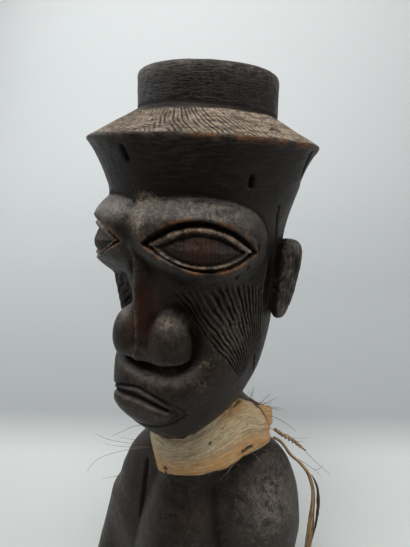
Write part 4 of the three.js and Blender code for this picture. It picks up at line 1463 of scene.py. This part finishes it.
p = vectors_of(carved_wood, "co").astype(float) / MM
hat_z = p[:, 2] + hat_tip * p[:, 1]
brim_r = np.hypot(p[:, 0], p[:, 1] + brim_forward)
rim_bearing = np.degrees(np.arctan2(p[:, 0], -p[:, 1]))
dust = ramp(31.2, 32.5, brim_r) * ramp(50.5, 49, brim_r) * ramp(252.5, 253.8, hat_z) * ramp(267.5, 265, hat_z)
dust = dust * (0.6 + 0.35 * ramp(-10, 30, rim_bearing) * ramp(150, 60, rim_bearing))
for middle, size, share in (
        ((6, -44, 232), (9, 8, 4), 0.66), ((6, -47, 224), (6, 8, 8), 0.6), ((-7, -45, 228), (8, 8, 6), 0.5),
        ((24, -35, 231), (18, 9, 4), 0.45), ((32, -30, 226), (9, 9, 7), 0.42),
        ((14, -41, 184), (7, 7, 4), 0.5), ((22.5, -35.5, 181), (3, 6, 4), 0.6),
        ((-13, -41, 182), (6, 7, 4), 0.4), ((26, -33, 156), (5, 8, 7), 0.35),
        ((26, -32, 165), (5, 8, 4), 0.5), ((20, -38, 197), (12, 9, 5), 0.35),
        ((32, -20, 177), (12, 18, 20), 0.45)):
    dust = np.maximum(dust, share * soft_spot(p, middle, size))
chest = ramp(104, 90, p[:, 2]) * 0.32
dust = np.maximum(dust, chest * (0.6 + 0.4 * unevenness(p, 5)))
u, v = eye_place(*p.T)
lid = lid_outline(u, v)
lid = np.where(v > 0, 0.9 * bump(lid - 1.0, 2.2), 0.7 * bump(lid, 1.2))
lid = lid * (p[:, 1] < 5) * (np.abs(u) < 20) * (np.abs(v) < 13)
dust = np.maximum(dust, lid * (0.72 + 0.5 * unevenness(p, 1.7)))
set_attribute(carved_wood, "dust", np.clip(dust, 0, 1))
print("dusty share", round(float((dust > 0.3).mean()), 3))

# %% [markdown]
# A thin grey layer, partly dust and partly a painted sheen, lies on all that faces up and on the
# drum's top. A painted highlight brightens the brow, the drum's left side, the shoulder, the outer
# faces of the ears and the ridge of the nose. Elsewhere the wood is bare: dark red heartwood in the
# eyes, beside the nose, on the drum and on the arm, and rubbed edges at the brim and round the eyes.
# Weight painting would mark the same places by hand. Here the normals and the forms' own sizes say
# where they are.

# %% Dust and painted sheen, heartwood and rubbed edges
normal = vectors_of(carved_wood, "normal")
# Dust and painted sheen on all that faces up, less below the nose and none on the drum
dust_and_sheen = ramp(0.05, 0.85, normal[:, 2]) * ramp(262, 255, p[:, 2]) * (0.35 + 0.65 * ramp(165, 185, p[:, 2]))
# Painted sheen on the left shoulder; the rest of the torso keeps less of the dust and sheen
shoulder_sheen = soft_spot(p, (46, 0, 72), (16, 20, 22))
dust_and_sheen = np.where(p[:, 2] < 110, 0.35 * dust_and_sheen + 1.3 * shoulder_sheen * ramp(-0.2, 0.5, normal[:, 2]), dust_and_sheen)
# Painted highlight on the outer faces of the ears
ear_sheen = soft_spot(p * (0, 1, 1), (0, 12, 195), (1, 9, 22)) * (np.abs(p[:, 0]) > 38)
dust_and_sheen = np.maximum(dust_and_sheen, 2.2 * ear_sheen)
# Dust and painted sheen on the drum's top
dust_and_sheen = np.maximum(dust_and_sheen, 0.8 * ramp(6, 0, np.abs(hat_z - 280)))
# Painted highlight on the brow
dust_and_sheen = dust_and_sheen * (1 + 0.7 * ramp(220, 224, p[:, 2]) * ramp(240, 236, p[:, 2]) * (p[:, 1] < -15))
# Painted highlight on the drum's left side
dust_and_sheen = np.maximum(dust_and_sheen, 0.5 * ramp(-18, -55, rim_bearing) * (hat_z > 263.5))
# Painted highlight along the ridge of the nose
ridge_highlight = bump(p[:, 0] + 0.2, 1.3) * (p[:, 1] < -42.5) * ramp(167, 171, p[:, 2]) * ramp(217, 213, p[:, 2])
dust_and_sheen = np.maximum(dust_and_sheen, ridge_highlight)
rubbed = 0.9 * bump(hat_z - brim_edge + 0.6, 2.2) * ramp(47.5, 49.5, brim_r)
rubbed = rubbed * (0.25 + 0.75 * ramp(30, 42, rim_bearing) * ramp(125, 105, rim_bearing))
by_eye = (p[:, 1] < 5) & (np.abs(u) < 24) & (np.abs(v) < 16)
outline = recess_outline(u, v)
rubbed = np.maximum(rubbed, by_eye * bump(outline + 0.3, 1.1) * np.where(v > 0, 0.55, 0.95))
ruddy = by_eye * ramp(-0.8, -2.2, lid_outline(u, v)) * (0.22 + 0.45 * bump(u - 0.5, 8))
dust_and_sheen = dust_and_sheen * (1 - by_eye * ramp(0.5, -0.5, outline))
for side in (1, -1):
    aside = p[:, 0] * side
    nose_side = (aside > 0.8) & (aside < 9) & (p[:, 1] < -37)
    ruddy = np.maximum(ruddy, nose_side * bump(p[:, 2] - 186, 20) * ramp(9, 6, aside))
ruddy = np.maximum(ruddy, 0.6 * soft_spot(p, (47, 9, 45), (9, 14, 13)))
ruddy = np.maximum(ruddy, 0.65 * ramp(264, 268, hat_z) * ramp(-0.05, 0.5, unevenness(p + 9, 11)))
for name, values in (("dust_and_sheen", dust_and_sheen), ("ruddy", ruddy), ("rubbed", rubbed)):
    set_attribute(carved_wood, name, np.clip(values, 0, 1))
    print(name, "share", round(float((values > 0.3).mean()), 3))

# %% [markdown]
# ## Floor and light
# The figure was photographed on a pale table in soft daylight from above and from the left, with a
# plain pale wall behind. The floor is one large sheet that curves up into the wall far behind the
# figure, so that no corner shows. Two planes would meet in a line across the picture.

# %% Floor and wall
floor_reach, floor_half_width = 3.0, 3.0            # in metres, like the next three
wall_start, bend_radius, wall_top = 0.62, 0.5, 2.4
profile = [(-floor_reach, 0.0), (wall_start, 0.0)]
profile += [(wall_start + bend_radius * math.sin(a), bend_radius * (1 - math.cos(a)))
            for a in np.linspace(0.1, math.pi / 2, 16)]
profile += [(wall_start + bend_radius, wall_top)]
sweep_points = [tuple((across * s * floor_half_width + away * d + upright * h) / MM)
                for d, h in profile for s in (-1, 1)]
sweep_faces = [(2 * k, 2 * k + 1, 2 * k + 3, 2 * k + 2) for k in range(len(profile) - 1)]
sweep = new_piece("floor_and_wall", sweep_points, sweep_faces)
plaster = Finish("pale_plaster")
plaster_place = plaster.node("ShaderNodeTexCoord").outputs["Object"]
run_back = plaster.node("ShaderNodeVectorMath", [("operation", "DOT_PRODUCT")], Vector=plaster_place)
run_back.inputs[1].default_value = tuple(away * 0.5 + upright * 0.35)
# Painted shade and light: the sheet is darkest a little behind the figure and grows lighter up the wall
shade = plaster.steps(run_back.outputs["Value"], (0.052, (0.43, 0.448, 0.438)), (0.08, (0.26, 0.273, 0.274)),
                      (0.48, (0.56, 0.583, 0.588)), (0.8, (0.92, 0.945, 0.94)))
plaster.join(shade, plaster.shader.inputs["Base Color"])
plaster.shader.inputs["Roughness"].default_value = 0.9
plaster.give(sweep)

# %% [markdown]
# The daylight comes from large lamps, because a small lamp or a sun would give hard shadows that
# the photograph doesn't have. A weak pale world stands for the light that the room throws back.

# %% Light
def soft_lamp(name, azimuth, elevation, distance, size, power, tint=(1, 1, 1)):
    data = bpy.data.lights.new(name, "AREA")
    data.shape, data.size, data.energy, data.color = "DISK", size, power, tint
    lamp = bpy.data.objects.new(name, data)
    a, e = math.radians(azimuth), math.radians(elevation)
    back = Vector((math.sin(a) * math.cos(e), -math.cos(a) * math.cos(e), math.sin(e)))
    lamp.location = Vector((0, 0, 0.16)) + back * distance
    lamp.rotation_euler = (-back).to_track_quat("-Z", "Y").to_euler()
    bpy.context.scene.collection.objects.link(lamp)


soft_lamp("overhead", 10, 74, 1.1, 0.7, 17)
soft_lamp("window_left", -80, 32, 1.2, 0.7, 5.4, (0.97, 0.99, 1.0))
soft_lamp("window_right", 122, 30, 1.2, 0.7, 6)
world = bpy.data.worlds.new("soft_room")
world.use_nodes = True
room_light = world.node_tree.nodes["Background"].inputs
room_light["Color"].default_value = (0.93, 0.97, 1.0, 1)
room_light["Strength"].default_value = 0.09
bpy.context.scene.world = world
bpy.context.scene.view_settings.view_transform = "Standard"
